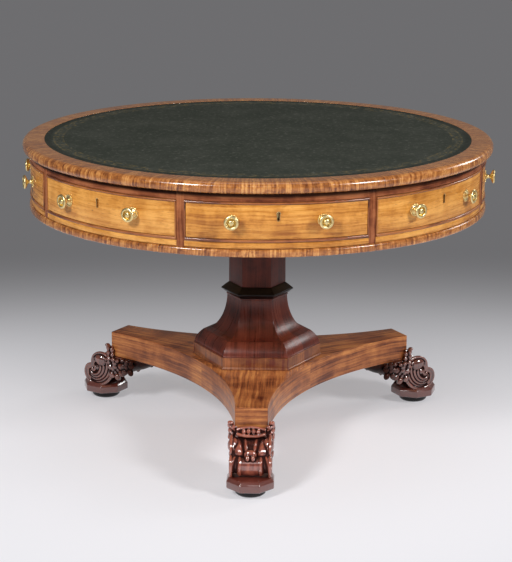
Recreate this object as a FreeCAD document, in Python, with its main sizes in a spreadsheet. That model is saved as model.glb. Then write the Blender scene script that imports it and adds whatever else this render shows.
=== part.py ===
"""Revolving drum table: a leather-lined round top over a frieze of real and dummy drawers, which turns
on a six-sided column that stands on a three-legged platform with scroll feet.

Millimetres, +Z up, origin on the column's axis at the floor. The front drawer faces -Y.
"""
import FreeCAD, Part
import math
import operator
import os
from collections import namedtuple
from types import SimpleNamespace

import Sketcher
from FreeCAD import Placement, Rotation, Vector

SIZES = (
    # Top
    ("table_height", 766, "floor to the leather"),
    ("top_radius", 585, "axis to the rim's edge"),
    ("top_thickness", 26, "thickness of board and leather together"),
    ("top_edge_round", 8, "rounding of the rim's two outer corners"),
    ("rim_width", 54, "crossbanded rim round the leather"),
    ("leather_thickness", 1.5, "leather panel"),
    # Drum frame
    ("top_overhang", 18, "rim's edge beyond the face of the frieze"),
    ("frieze_depth", 37, "depth of stiles and rails behind that face"),
    ("moulding_height", 18, "bottom moulding"),
    ("moulding_projection", 4, "bottom moulding beyond the frieze"),
    ("moulding_round", 5, "rounding of the bottom moulding's outer corners"),
    ("lower_rail_height", 15, "rail under the drawers"),
    ("opening_height", 93, "drawer opening between the rails"),
    ("upper_rail_height", 21, "rail between the drawers and the top"),
    ("stile_width", 18.5, "upright between two bays"),
    ("floor_thickness", 15, "board that closes the drum below"),
    ("core_margin", 25.7, "partition to the corner of the square well in the middle of the drum"),
    ("core_wall", 12, "wall of that well"),
    ("partition_thickness", 12, "upright board beside a drawer"),
    ("runner_width", 16.5, "strip that carries a drawer side, and the kicker over it"),
    ("pivot_block_side", 150, "block that turns on the pin"),
    ("pivot_block_height", 92, "block that turns on the pin"),
    ("screw_angle", 12, "top screw's angle from the middle of its bay"),
    ("screw_radius", 2.2, "top screw's shank"),
    ("screw_head_radius", 4.5, "top screw's head"),
    ("screw_head_height", 2.5, "top screw's head"),
    ("screw_bite", 10, "length of screw in the rim"),
    # Drawers
    ("front_thickness", 21, "bowed drawer front"),
    ("drawer_gap", 0.7, "clearance round a drawer front"),
    ("bead_foot", 7, "height of the cockbead under a front"),
    ("bead_edge", 2.5, "thickness of the other cockbeads"),
    ("bead_projection", 2.5, "cockbead beyond the frieze"),
    ("guide_clearance", 1.3, "drawer side to partition"),
    ("side_thickness", 10, "drawer side"),
    ("side_drop", 1.5, "top of a drawer side below the upper rail"),
    ("back_thickness", 12, "drawer back"),
    ("back_drop", 8, "top of the back below the sides"),
    ("back_gap", 6, "drawer back to the well"),
    ("bottom_thickness", 6, "drawer bottom"),
    ("bottom_raise", 3, "drawer bottom above the lower edge of the sides"),
    ("drawer_lift", 0.3, "running gap over the runners"),
    # Locks
    ("lock_width", 68, "lock case"),
    ("lock_height", 38, "lock case"),
    ("lock_depth", 13, "lock case"),
    ("lock_drop", 3, "top of the case below the upper rail"),
    ("bolt_width", 12, "lock bolt"),
    ("bolt_thickness", 6, "lock bolt"),
    ("bolt_length", 20, "lock bolt"),
    ("bolt_setback", 3.5, "bolt behind the drawer front's inner face"),
    ("bolt_travel", 8, "how far the key throws the bolt"),
    ("bolt_clearance", 0.35, "bolt in its case"),
    ("mortise_clearance", 1, "bolt in the rail above"),
    ("mortise_spare", 3, "depth of the mortise past the thrown bolt"),
    # Brassware
    ("knob_angle", 10.4, "knob's angle from the middle of its bay"),
    ("knob_rise", 50, "knob above the bottom of the opening"),
    ("knob_radius", 16, "knob's front disc"),
    ("knob_projection", 25, "knob beyond the frieze"),
    ("knob_head_depth", 5, "thickness of the knob's disc at its edge"),
    ("knob_dish_radius", 9.5, "ring recess in the disc"),
    ("knob_dish_depth", 2.2, "ring recess in the disc"),
    ("knob_boss_radius", 5.3, "boss in the middle of the recess"),
    ("stem_radius", 4.4, "knob's neck"),
    ("stem_collar", 1.2, "spread of the neck where it meets the rose"),
    ("stud_radius", 2.5, "knob's stud in the drawer front"),
    ("stud_length", 15, "knob's stud in the drawer front"),
    ("stud_clearance", 0.1, "stud in its hole"),
    ("rose_radius", 15, "backplate of a knob"),
    ("rose_thickness", 2.4, "backplate of a knob"),
    ("keyhole_rise", 67, "keyhole above the bottom of the opening"),
    ("keyhole_radius", 2.8, "round of the keyhole"),
    ("keyhole_slot", 3.6, "width of the keyhole's slot"),
    ("keyhole_length", 14, "slot below the round"),
    ("escutcheon_border", 1.7, "brass round the keyhole"),
    ("escutcheon_projection", 0.8, "brass beyond the frieze"),
    # Column
    ("base_turn", -6.33, "turn of the base against the drum"),
    ("shaft_gap", 4, "head of the shaft below the bottom moulding"),
    ("shaft_head_radius", 71, "axis to a corner of the shaft's head"),
    ("shaft_foot_radius", 72.5, "axis to a corner of the shaft's foot"),
    ("collar_height", 28, "collar round the shaft's foot"),
    ("collar_radius", 92, "axis to a corner of the collar"),
    ("collar_edge", 4, "upright edge of the collar"),
    ("collar_undercut", 9, "height of the slope under the collar's edge"),
    ("flare_height", 98, "flared lower column"),
    ("flare_head_radius", 76.5, "axis to a corner of its head"),
    ("flare_foot_radius", 137, "axis to a corner of its foot"),
    ("ovolo_height", 36, "base moulding"),
    ("ovolo_bulge", 5, "swell of the base moulding"),
    ("plinth_radius", 163.5, "axis to a corner of the base plinth"),
    ("plinth_height", 31, "base plinth"),
    ("plinth_bead", 3, "bead round the foot of the base plinth"),
    # Iron in the column
    ("pin_radius", 16, "pivot pin"),
    ("pin_depth", 110, "pin below the head of the shaft"),
    ("pin_clearance", 0.05, "pin in the turning block"),
    ("pin_top_drop", 5, "top of the pin below the top of the block"),
    ("bearing_radius", 58, "bearing ring on the head of the shaft"),
    ("bearing_gap", 0.1, "bearing ring to the drum's floor"),
    ("rod_radius", 9, "tie rod"),
    ("rod_clearance", 0.5, "tie rod in the column"),
    ("rod_engagement", 30, "tie rod in the pivot pin"),
    ("rod_tail", 22, "tie rod below the platform"),
    ("nut_radius", 18, "axis to a corner of the nut"),
    ("nut_height", 14, "nut"),
    ("thread_clearance", 0.05, "tie rod in its nut and in the pin"),
    # Platform and feet
    ("platform_bottom", 128, "floor to the underside of the platform"),
    ("platform_thickness", 67, "platform"),
    ("leg_reach", 434, "axis to the end of a leg"),
    ("side_radius", 745, "hollow side of the platform"),
    ("waist_reach", 160, "axis to the nearest point of a hollow side"),
    ("pad_radius", 38, "turned pad under a foot"),
    ("pad_height", 19.5, "turned pad under a foot"),
    ("pad_round", 8, "rounding of the pad's lower edge"),
    ("foot_overhang", 49, "middle of a foot plinth beyond the leg's end"),
    ("foot_plinth_radius", 60.5, "middle of a foot plinth to a corner"),
    ("foot_plinth_height", 26, "foot plinth"),
    ("foot_plinth_bevel", 8, "height of the foot plinth's bevel"),
    ("foot_plinth_slope", 6, "width of the foot plinth's bevel"),
    ("scroll_width", 104, "scroll across its front"),
    ("wing_width", 120, "leaf bracket across its wings"),
    ("scroll_rise", 8, "top of the scroll above the underside of the platform"),
    ("scroll_hump_bulge", 15, "swell of the scroll's upper lobe"),
    ("scroll_eye_bulge", 18, "swell of the scroll's lower lobe"),
    ("scroll_notch_height", 62, "notch between the lobes above the foot plinth"),
    ("scroll_notch_reach", 18, "notch beyond the middle of the foot plinth"),
    ("scroll_toe_reach", 12, "scroll's foot beyond the middle of the foot plinth"),
    ("scroll_heel_reach", 52, "scroll's foot inside the middle of the foot plinth"),
    ("bracket_length", 143, "tip of the leaf bracket inside the leg's end"),
    ("bracket_tip_width", 20, "leaf bracket across its tip"),
    ("leaf_reach", 72, "first leaf's low point inside the leg's end"),
    ("leaf_drop", 48, "first leaf's low point below the platform"),
    ("leaf_notch_drop", 38, "notch between the leaves below the platform"),
    ("leaf_notch_width", 13, "first leaf's low point to the notch between the leaves"),
    ("leaf_bulge", 7.5, "swell of the first leaf's lower edge"),
    ("heel_bulge", 4, "swell of the second leaf's lower edge"),
    ("crest_height", 30, "carved crest on the leg's end"),
    ("crest_width", 78, "carved crest on the leg's end"),
    ("crest_projection", 18, "carved crest on the leg's end"),
)

BAYS = 8
BAY_ANGLE = 360 / BAYS
HALF_BAY = BAY_ANGLE / 2
DRAWER_TURNS = (0, 90, 180, 270)
DUMMY_TURNS = tuple(turn + BAY_ANGLE for turn in DRAWER_TURNS)
FRONT = 270
LEGS = 3
LEG_ANGLE = 360 / LEGS
COLUMN_SIDES = 6
NUT_SIDES = 6
FOOT_PLINTH_SIDES = 8
FLARE_STEPS = 6
OVOLO_STEPS = 4
UP = Vector(0, 0, 1)

Corner = namedtuple("Corner", "x y radius bulge hollow", defaults=(None, None, False))
ARITHMETIC = {"+": operator.add, "-": operator.sub, "*": operator.mul, "/": operator.truediv}


class Size:
    """A length or an angle that carries its spreadsheet formula beside its value."""

    def __init__(self, formula, number):
        self.formula = formula
        self.number = number

    def __add__(self, other):
        return joined(self, "+", other)

    def __radd__(self, other):
        return joined(other, "+", self)

    def __sub__(self, other):
        return joined(self, "-", other)

    def __rsub__(self, other):
        return joined(other, "-", self)

    def __mul__(self, other):
        return joined(self, "*", other)

    def __rmul__(self, other):
        return joined(other, "*", self)

    def __truediv__(self, other):
        return joined(self, "/", other)

    def __neg__(self):
        return joined(0, "-", self)


def as_size(value):
    """A plain number becomes a size whose formula is that number."""
    if isinstance(value, Size):
        return value
    return Size(repr(value), value)


def joined(first, sign, second):
    """Two sizes joined by one sign of arithmetic."""
    left = as_size(first)
    right = as_size(second)
    number = ARITHMETIC[sign](left.number, right.number)
    return Size(f"({left.formula} {sign} {right.formula})", number)


def arcsine(ratio):
    """The angle, in degrees, whose sine is the ratio."""
    return Size(f"(asin({ratio.formula}) / 1 deg)", math.degrees(math.asin(ratio.number)))


doc = FreeCAD.newDocument("drum_table")
sheet = doc.addObject("Spreadsheet::Sheet", "dims")
for row, (alias, number, meaning) in enumerate(SIZES, start=1):
    sheet.set(f"A{row}", meaning)
    sheet.set(f"B{row}", str(number))
    sheet.setAlias(f"B{row}", alias)
doc.recompute()
dims = SimpleNamespace(**{alias: Size(f"dims.{alias}", number) for alias, number, meaning in SIZES})
nodes = []

# Levels
top_underside = dims.table_height - dims.top_thickness
leather_underside = dims.table_height - dims.leather_thickness
opening_high = top_underside - dims.upper_rail_height
opening_low = opening_high - dims.opening_height
frieze_low = opening_low - dims.lower_rail_height
floor_low = frieze_low - dims.floor_thickness
drum_bottom = frieze_low - dims.moulding_height
shaft_top = drum_bottom - dims.shaft_gap
platform_top = dims.platform_bottom + dims.platform_thickness
plinth_top = platform_top + dims.plinth_height
ovolo_top = plinth_top + dims.ovolo_height
flare_top = ovolo_top + dims.flare_height
collar_top = flare_top + dims.collar_height
foot_top = dims.pad_height + dims.foot_plinth_height
pin_low = shaft_top - dims.pin_depth

# Radii and widths that several pieces share
leather_radius = dims.top_radius - dims.rim_width
frieze_radius = dims.top_radius - dims.top_overhang
frame_radius = frieze_radius - dims.frieze_depth
front_back_radius = frieze_radius - dims.front_thickness
stile_half = dims.stile_width / 2
opening_half_angle = HALF_BAY - arcsine(stile_half / front_back_radius)
front_half_angle = HALF_BAY - arcsine((stile_half + dims.drawer_gap) / front_back_radius)
bead_angle = arcsine(dims.bead_edge / front_back_radius)
guide_face = (frame_radius * math.sin(math.radians(HALF_BAY))
              - stile_half * math.cos(math.radians(HALF_BAY)))
box_half = guide_face - dims.guide_clearance
box_inner_half = box_half - dims.side_thickness
core_half = guide_face + dims.partition_thickness + dims.core_margin
box_end = core_half + dims.back_gap
bearing_bore = dims.pin_radius + dims.pin_clearance
rod_bore = dims.rod_radius + dims.rod_clearance
thread_bore = dims.rod_radius + dims.thread_clearance
foot_centre = dims.leg_reach + dims.foot_overhang
leg_turns = tuple(FRONT + dims.base_turn + LEG_ANGLE * leg for leg in range(LEGS))
corner_turn = leg_turns[0] + 180 / COLUMN_SIDES


def node(label, item):
    """Name an item as a finished sub-part."""
    item.Label = label
    nodes.append(item)
    return item


def bind(item, **sizes):
    """Tie an item's properties to their formulas."""
    for name, value in sizes.items():
        item.setExpression(name, as_size(value).formula)


def seat(item, x=0, y=0, z=0, turn=0, axis=UP):
    """Place an item, turned about one axis, with every value tied to its formula."""
    item.Placement = Placement(Vector(0, 0, 0), Rotation(axis, 1))
    place = {"Placement.Base.x": x, "Placement.Base.y": y, "Placement.Base.z": z}
    bind(item, **place, **{"Placement.Rotation.Angle": turn})
    return item


def disc(name, radius, low, high, sweep=360, turn=0):
    """A round board about the axis, or a slice of one."""
    item = doc.addObject("Part::Cylinder", name)
    bind(item, Radius=radius, Height=high - low, Angle=sweep)
    return seat(item, z=low, turn=turn)


def peg(name, radius, near, far, height):
    """A round peg that points at the front drawer, between two distances from the axis."""
    item = doc.addObject("Part::Cylinder", name)
    bind(item, Radius=radius, Height=far - near)
    return seat(item, y=-near, z=height, turn=90, axis=Vector(1, 0, 0))


def board(name, x, y, z):
    """A straight block; each pair holds the low and high ends along one axis."""
    item = doc.addObject("Part::Box", name)
    bind(item, Length=x[1] - x[0], Width=y[1] - y[0], Height=z[1] - z[0])
    return seat(item, x[0], y[0], z[0])


def cut(name, base, tool):
    item = doc.addObject("Part::Cut", name)
    item.Base = base
    item.Tool = tool
    return item


def common(name, base, tool):
    item = doc.addObject("Part::Common", name)
    item.Base = base
    item.Tool = tool
    return item


def fused(name, items):
    item = doc.addObject("Part::MultiFuse", name)
    item.Shapes = items
    return item


def group(name, items):
    """Separate solids kept as one item."""
    item = doc.addObject("Part::Compound", name)
    item.Links = items
    return item


def copy_at(name, master, turn):
    """A copy of a master, turned about the axis."""
    return seat(group(name, [master]), turn=turn)


def ring_of(name, master, turns):
    """Copies of a master, spread round the axis."""
    return group(name, [copy_at(f"{name}_{place}", master, turn) for place, turn in enumerate(turns)])


def tube(name, inner, outer, low, high):
    return cut(name, disc(f"{name}_outside", outer, low, high), disc(f"{name}_inside", inner, low, high))


def arc_block(name, inner, outer, low, high, half_angle, heading=FRONT):
    """A block bent round the axis, centred on a heading."""
    whole = disc(f"{name}_outside", outer, low, high, 2 * half_angle, heading - half_angle)
    return cut(name, whole, disc(f"{name}_inside", inner, low, high))


def faceted(name, sides, sections, turn=0, smooth=False):
    """A many-sided column through sections given as corner radius and level."""
    rings = []
    for place, (radius, level) in enumerate(sections):
        ring = doc.addObject("Part::RegularPolygon", f"{name}_section_{place}")
        ring.Polygon = sides
        bind(ring, Circumradius=radius)
        rings.append(seat(ring, z=level, turn=turn))
    item = doc.addObject("Part::Loft", f"{name}_loft")
    item.Sections = rings
    item.Solid = True
    item.Ruled = not smooth
    return item


def arc_size(corner, following):
    """The radius of a corner's arc, given, or worked out from how far the arc stands off its chord."""
    if corner.bulge is None:
        return corner.radius
    across = following.x - corner.x
    up = following.y - corner.y
    return (across * across + up * up) / (8 * corner.bulge) + corner.bulge / 2


def add_side(sketch, corner, following):
    """One side of an outline; gives its index and which of its ends come first and last."""
    start = Vector(as_size(corner.x).number, as_size(corner.y).number, 0)
    finish = Vector(as_size(following.x).number, as_size(following.y).number, 0)
    arc = arc_size(corner, following)
    if arc is None:
        return sketch.addGeometry(Part.LineSegment(start, finish), False), 1, 2
    radius = arc.number
    along = finish - start
    to_left = Vector(-along.y, along.x, 0).normalize()
    rise = math.sqrt(radius ** 2 - (along.Length / 2) ** 2)
    first, last = (finish, start) if corner.hollow else (start, finish)
    centre = start + along * 0.5 + to_left * (-rise if corner.hollow else rise)
    angles = [math.atan2(point.y - centre.y, point.x - centre.x) for point in (first, last)]
    index = sketch.addGeometry(Part.ArcOfCircle(Part.Circle(centre, UP, radius), *angles), False)
    datum = sketch.addConstraint(Sketcher.Constraint("Radius", index, radius))
    sketch.setExpression(f"Constraints[{datum}]", arc.formula)
    return (index, 2, 1) if corner.hollow else (index, 1, 2)


def outline(body, role, loop):
    """A closed sketch drawn anticlockwise, with each corner tied to its formulas."""
    sketch = body.newObject("Sketcher::SketchObject", f"{body.Name}_outline")
    plane = [feature for feature in body.Origin.OriginFeatures if feature.Role == role][0]
    sketch.AttachmentSupport = [(plane, "")]
    sketch.MapMode = "FlatFace"
    sides = [add_side(sketch, corner, following) for corner, following in zip(loop, loop[1:] + loop[:1])]
    for (index, begin, end), (following, start, finish) in zip(sides, sides[1:] + sides[:1]):
        sketch.addConstraint(Sketcher.Constraint("Coincident", index, end, following, start))
    for corner, (index, begin, end) in zip(loop, sides):
        for kind, place in (("DistanceX", as_size(corner.x)), ("DistanceY", as_size(corner.y))):
            datum = sketch.addConstraint(Sketcher.Constraint(kind, -1, 1, index, begin, place.number))
            sketch.setExpression(f"Constraints[{datum}]", place.formula)
    return sketch


def turned(name, loop):
    """A piece turned about its own upright axis from half its outline."""
    body = doc.addObject("PartDesign::Body", name)
    sketch = outline(body, "XZ_Plane", loop)
    turning = body.newObject("PartDesign::Revolution", f"{name}_turning")
    turning.Profile = sketch
    turning.ReferenceAxis = (sketch, ["V_Axis"])
    turning.Angle = 360
    return body


def sawn(name, role, loop, thickness, both_ways):
    """A piece sawn from a board along an outline."""
    body = doc.addObject("PartDesign::Body", name)
    pad = body.newObject("PartDesign::Pad", f"{name}_pad")
    pad.Profile = outline(body, role, loop)
    pad.SideType = "Symmetric" if both_ways else "One side"
    bind(pad, Length=thickness)
    return body


def screws():
    """Countersunk screws, one in each bay, that hold the top to the upper rails."""
    head_top = opening_high + dims.screw_head_height
    shank = disc("screw_shank", dims.screw_radius, head_top, top_underside + dims.screw_bite)
    head = disc("screw_head", dims.screw_head_radius, opening_high, head_top)
    screw = seat(fused("screw_upright", [shank, head]), x=frame_radius + dims.frieze_depth / 2)
    return ring_of("screw_ring", screw, [dims.screw_angle + BAY_ANGLE * bay for bay in range(BAYS)])


def stile_blanks():
    """Straight uprights between the bays, longer than the frieze is deep."""
    blank = board(
        "stile_blank",
        (frame_radius - dims.stile_width, dims.top_radius),
        (-stile_half, stile_half),
        (frieze_low, top_underside),
    )
    return ring_of("stile_blanks", blank, [HALF_BAY + BAY_ANGLE * bay for bay in range(BAYS)])


def bolt_sides(clearance):
    """The lock bolt's width and depth, with room all round."""
    reach = front_back_radius - dims.bolt_setback
    half = dims.bolt_width / 2 + clearance
    return (-half, half), (-reach - clearance, dims.bolt_thickness - reach + clearance)


def mortises():
    """Mortises in the upper rails for the thrown lock bolts."""
    x, y = bolt_sides(dims.mortise_clearance)
    depth = dims.bolt_travel + dims.mortise_spare
    return ring_of("mortises", board("mortise", x, y, (opening_high, opening_high + depth)), DRAWER_TURNS)


def top(screw_ring):
    """Board, rim and leather."""
    board_blank = disc("top_board_blank", leather_radius, top_underside, leather_underside)
    node("top_board", cut("top_board", board_blank, screw_ring))
    node("leather_panel", disc("leather_panel", leather_radius, leather_underside, dims.table_height))
    edge = dims.top_edge_round
    rim = turned("rim_blank", [
        Corner(leather_radius, top_underside),
        Corner(dims.top_radius - edge, top_underside, edge),
        Corner(dims.top_radius, top_underside + edge),
        Corner(dims.top_radius, dims.table_height - edge, edge),
        Corner(dims.top_radius - edge, dims.table_height),
        Corner(leather_radius, dims.table_height),
    ])
    node("top_rim", cut("top_rim", rim, screw_ring))
    node("top_screws", group("top_screws", [screw_ring]))


def drum_frame(screw_ring):
    """Stiles, rails, bottom moulding and floor."""
    blanks = stile_blanks()
    whole = tube("frieze_whole", frame_radius, frieze_radius, frieze_low, top_underside)
    node("stiles", common("stiles", whole, blanks))
    lower = tube("lower_ring", frame_radius, frieze_radius, frieze_low, opening_low)
    node("lower_rails", cut("lower_rails", lower, blanks))
    upper = tube("upper_ring", frame_radius, frieze_radius, opening_high, top_underside)
    pierced = cut("upper_pierced", cut("upper_split", upper, blanks), screw_ring)
    node("upper_rails", cut("upper_rails", pierced, mortises()))
    edge = dims.moulding_round
    reach = frieze_radius + dims.moulding_projection
    node("bottom_moulding", turned("bottom_moulding", [
        Corner(frame_radius, drum_bottom),
        Corner(reach - edge, drum_bottom, edge),
        Corner(reach, drum_bottom + edge),
        Corner(reach, frieze_low - edge, edge),
        Corner(reach - edge, frieze_low),
        Corner(frame_radius, frieze_low),
    ]))
    node("drum_floor", tube("drum_floor", bearing_bore, frame_radius, floor_low, frieze_low))


def both_sides(name, x, y, z, inside):
    """Two boards, left and right of the front bay, trimmed to a round face."""
    sides = [board(f"{name}_right", x, y, z), board(f"{name}_left", (-x[1], -x[0]), y, z)]
    return common(f"{name}_pair", group(f"{name}_blanks", sides), inside)


def drum_inside():
    """Well, partitions, runners, kickers and the block that turns on the pin."""
    frame_disc = disc("frame_disc", frame_radius, frieze_low, top_underside)
    length = (-frame_radius, -core_half)
    wall = (guide_face, guide_face + dims.partition_thickness)
    strip = (guide_face - dims.runner_width, guide_face)
    partition = both_sides("partition", wall, length, (frieze_low, top_underside), frame_disc)
    node("partitions", ring_of("partitions", partition, DRAWER_TURNS))
    runner = both_sides("runner", strip, length, (frieze_low, opening_low), frame_disc)
    node("drawer_runners", ring_of("drawer_runners", runner, DRAWER_TURNS))
    kicker = both_sides("kicker", strip, length, (opening_high, top_underside), frame_disc)
    node("drawer_kickers", ring_of("drawer_kickers", kicker, DRAWER_TURNS))
    outer = core_half
    inner = outer - dims.core_wall
    height = (frieze_low, top_underside)
    long_wall = board("long_wall", (-outer, outer), (-outer, -inner), height)
    short_wall = board("short_wall", (-outer, -inner), (-inner, inner), height)
    walls = [ring_of("long_walls", long_wall, (0, 180)), ring_of("short_walls", short_wall, (0, 180))]
    node("core_walls", group("core_walls", walls))
    half = dims.pivot_block_side / 2
    block_top = frieze_low + dims.pivot_block_height
    block = board("pivot_blank", (-half, half), (-half, half), (frieze_low, block_top))
    node("pivot_block", cut("pivot_block", block, disc("pivot_bore", bearing_bore, frieze_low, block_top)))


def keyhole(name, border, near, far):
    """A keyhole's shape, or the escutcheon's outline round it."""
    height = opening_low + dims.keyhole_rise
    half = dims.keyhole_slot / 2 + border
    round_part = peg(f"{name}_round", dims.keyhole_radius + border, near, far, height)
    slot = board(f"{name}_slot", (-half, half), (-far, -near),
                 (height - dims.keyhole_length - border, height))
    return fused(name, [round_part, slot])


def bow_front(name, gap, half_angle):
    """A bowed front with its keyhole and stud holes, and the cockbeads round it."""
    low = opening_low + gap
    high = opening_high - gap
    panel_low = low + dims.bead_foot
    panel_high = high - dims.bead_edge
    bead_reach = frieze_radius + dims.bead_projection
    panel = arc_block(f"{name}_panel", front_back_radius, frieze_radius, panel_low, panel_high,
                      half_angle - bead_angle)
    stud_hole = peg(f"{name}_stud_hole", dims.stud_radius + dims.stud_clearance,
                    frieze_radius - dims.stud_length, bead_reach, opening_low + dims.knob_rise)
    holes = ring_of(f"{name}_stud_holes", stud_hole, (dims.knob_angle, -dims.knob_angle))
    key = keyhole(f"{name}_keyhole", 0, front_back_radius - dims.bead_edge, bead_reach)
    front = cut(f"{name}_front", cut(f"{name}_drilled", panel, holes), key)
    foot = arc_block(f"{name}_foot_bead", front_back_radius, bead_reach, low, panel_low, half_angle)
    head = arc_block(f"{name}_head_bead", front_back_radius, bead_reach, panel_high, high, half_angle)
    beads = [foot, head]
    for side, heading in (("right", FRONT + half_angle - bead_angle / 2),
                          ("left", FRONT - half_angle + bead_angle / 2)):
        beads.append(arc_block(f"{name}_{side}_bead", front_back_radius, bead_reach, panel_low, panel_high,
                               bead_angle / 2, heading))
    return front, group(f"{name}_beads", beads)


def knob_and_rose():
    """A dished knob on its stud, and the rose behind it, both facing the front."""
    out = dims.knob_projection
    head = dims.knob_radius
    dish = out - dims.knob_dish_depth
    collar = dims.stem_radius + dims.stem_collar
    knob = turned("knob", [
        Corner(0, -dims.stud_length),
        Corner(dims.stud_radius, -dims.stud_length),
        Corner(dims.stud_radius, dims.rose_thickness),
        Corner(collar, dims.rose_thickness),
        Corner(dims.stem_radius, dims.rose_thickness * 2),
        Corner(dims.stem_radius, out - dims.knob_head_depth * 2, dims.knob_radius, hollow=True),
        Corner(head, out - dims.knob_head_depth),
        Corner(head, out - dims.knob_dish_depth),
        Corner(head - dims.knob_dish_depth, out),
        Corner(dims.knob_dish_radius, out),
        Corner(dims.knob_dish_radius - dims.knob_dish_depth / 2, dish),
        Corner(dims.knob_boss_radius, dish),
        Corner(dims.knob_boss_radius, out - dims.knob_dish_depth / 3),
        Corner(0, out),
    ])
    bore = dims.stud_radius + dims.stud_clearance
    rose = turned("rose", [
        Corner(bore, 0),
        Corner(dims.rose_radius, 0),
        Corner(dims.rose_radius, dims.rose_thickness / 2),
        Corner(dims.rose_radius - dims.rose_thickness, dims.rose_thickness),
        Corner(bore, dims.rose_thickness),
    ])
    for item in (knob, rose):
        seat(item, y=-frieze_radius, z=opening_low + dims.knob_rise, turn=90, axis=Vector(1, 0, 0))
    return group("knob_and_rose", [knob, rose])


def brassware():
    """Two knobs with their roses, and the escutcheon of the keyhole."""
    knobs = ring_of("bay_knobs", knob_and_rose(), (dims.knob_angle, -dims.knob_angle))
    reach = frieze_radius + dims.escutcheon_projection
    plate = keyhole("escutcheon_outline", dims.escutcheon_border, front_back_radius, reach)
    behind = disc("frieze_disc", frieze_radius, opening_low, opening_high)
    proud = cut("escutcheon_proud", plate, behind)
    hole = keyhole("escutcheon_hole", 0, front_back_radius, reach)
    return group("bay_brassware", [knobs, cut("escutcheon", proud, hole)])


def drawer_box():
    """Sides, back and bottom of a drawer behind its front."""
    front_disc = disc("front_disc", front_back_radius, frieze_low, top_underside)
    low = opening_low + dims.drawer_lift
    high = opening_high - dims.side_drop
    bottom_low = low + dims.bottom_raise
    bottom_high = bottom_low + dims.bottom_thickness
    sides = both_sides("drawer_side", (box_inner_half, box_half), (-front_back_radius, -box_end),
                       (low, high), front_disc)
    inside = (-box_inner_half, box_inner_half)
    back = board("drawer_back", inside, (-box_end - dims.back_thickness, -box_end),
                 (bottom_high, high - dims.back_drop))
    panel = board("bottom_blank", inside, (-front_back_radius, -box_end), (bottom_low, bottom_high))
    return group("drawer_box", [sides, back]), common("drawer_bottom", panel, front_disc), front_disc


def lock(front_disc):
    """A lock case on the back of a drawer front, and the bolt that slides up out of it."""
    half = dims.lock_width / 2
    high = opening_high - dims.lock_drop
    bolt_low = high - dims.bolt_length
    blank = board("lock_blank", (-half, half), (-front_back_radius, dims.lock_depth - front_back_radius),
                  (high - dims.lock_height, high))
    x, y = bolt_sides(dims.bolt_clearance)
    slot = board("lock_slot", x, y, (bolt_low - dims.bolt_clearance, high))
    case = cut("lock_case", common("lock_shell", blank, front_disc), slot)
    x, y = bolt_sides(0)
    return case, board("lock_bolt", x, y, (bolt_low, high))


def drawers():
    """Four real drawers and the four dummy fronts between them."""
    front, beads = bow_front("drawer", dims.drawer_gap, front_half_angle)
    box, bottom, front_disc = drawer_box()
    case, bolt = lock(front_disc)
    brass = brassware()
    masters = {"front": front, "cockbeads": beads, "box": box, "bottom": bottom,
               "brassware": brass, "lock_case": case, "lock_bolt": bolt}
    for place, turn in enumerate(DRAWER_TURNS, start=1):
        for piece, master in masters.items():
            label = f"drawer_{place}_{piece}"
            node(label, copy_at(f"{label}_copy", master, turn))
    dummy, dummy_beads = bow_front("dummy", 0, opening_half_angle)
    node("dummy_fronts", ring_of("dummy_fronts", dummy, DUMMY_TURNS))
    node("dummy_cockbeads", ring_of("dummy_cockbeads", dummy_beads, DUMMY_TURNS))
    node("dummy_brassware", ring_of("dummy_brassware", brass, DUMMY_TURNS))


def column_bore():
    """The hole down the column: wide for the pivot pin at its head, and narrow for the tie rod below."""
    wide = disc("pin_hole", bearing_bore, pin_low, shaft_top)
    narrow = disc("rod_hole", rod_bore, dims.platform_bottom, shaft_top)
    return fused("column_bore", [wide, narrow])


def column(bore):
    """Six-sided column, from the plinth on the platform to the head under the drum."""
    bead = dims.plinth_bead
    foot = dims.plinth_radius + bead
    node("base_plinth", cut("base_plinth", faceted("plinth_blank", COLUMN_SIDES, [
        (foot, platform_top),
        (foot, platform_top + bead),
        (dims.plinth_radius, platform_top + bead * 2),
        (dims.plinth_radius, plinth_top),
    ], corner_turn), bore))
    sections = []
    for step in range(OVOLO_STEPS + 1):
        share = step / OVOLO_STEPS
        straight = dims.plinth_radius + (dims.flare_foot_radius - dims.plinth_radius) * share
        sections.append((straight + dims.ovolo_bulge * (4 * share * (1 - share)),
                         plinth_top + dims.ovolo_height * share))
    ovolo = faceted("ovolo_blank", COLUMN_SIDES, sections, corner_turn, smooth=True)
    node("base_moulding", cut("base_moulding", ovolo, bore))
    sections = []
    for step in range(FLARE_STEPS + 1):
        angle = math.radians(90 * step / FLARE_STEPS)
        spread = dims.flare_foot_radius - dims.flare_head_radius
        sections.append((dims.flare_foot_radius - spread * math.sin(angle),
                         flare_top - dims.flare_height * math.cos(angle)))
    flare = faceted("flare_blank", COLUMN_SIDES, sections, corner_turn, smooth=True)
    node("column_flare", cut("column_flare", flare, bore))
    edge_low = flare_top + dims.collar_undercut
    node("column_collar", cut("column_collar", faceted("collar_blank", COLUMN_SIDES, [
        (dims.flare_head_radius, flare_top),
        (dims.collar_radius, edge_low),
        (dims.collar_radius, edge_low + dims.collar_edge),
        (dims.shaft_foot_radius, collar_top),
    ], corner_turn), bore))
    shaft = faceted("shaft_blank", COLUMN_SIDES, [
        (dims.shaft_foot_radius, collar_top),
        (dims.shaft_head_radius, shaft_top),
    ], corner_turn)
    node("column_shaft", cut("column_shaft", shaft, bore))


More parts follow.
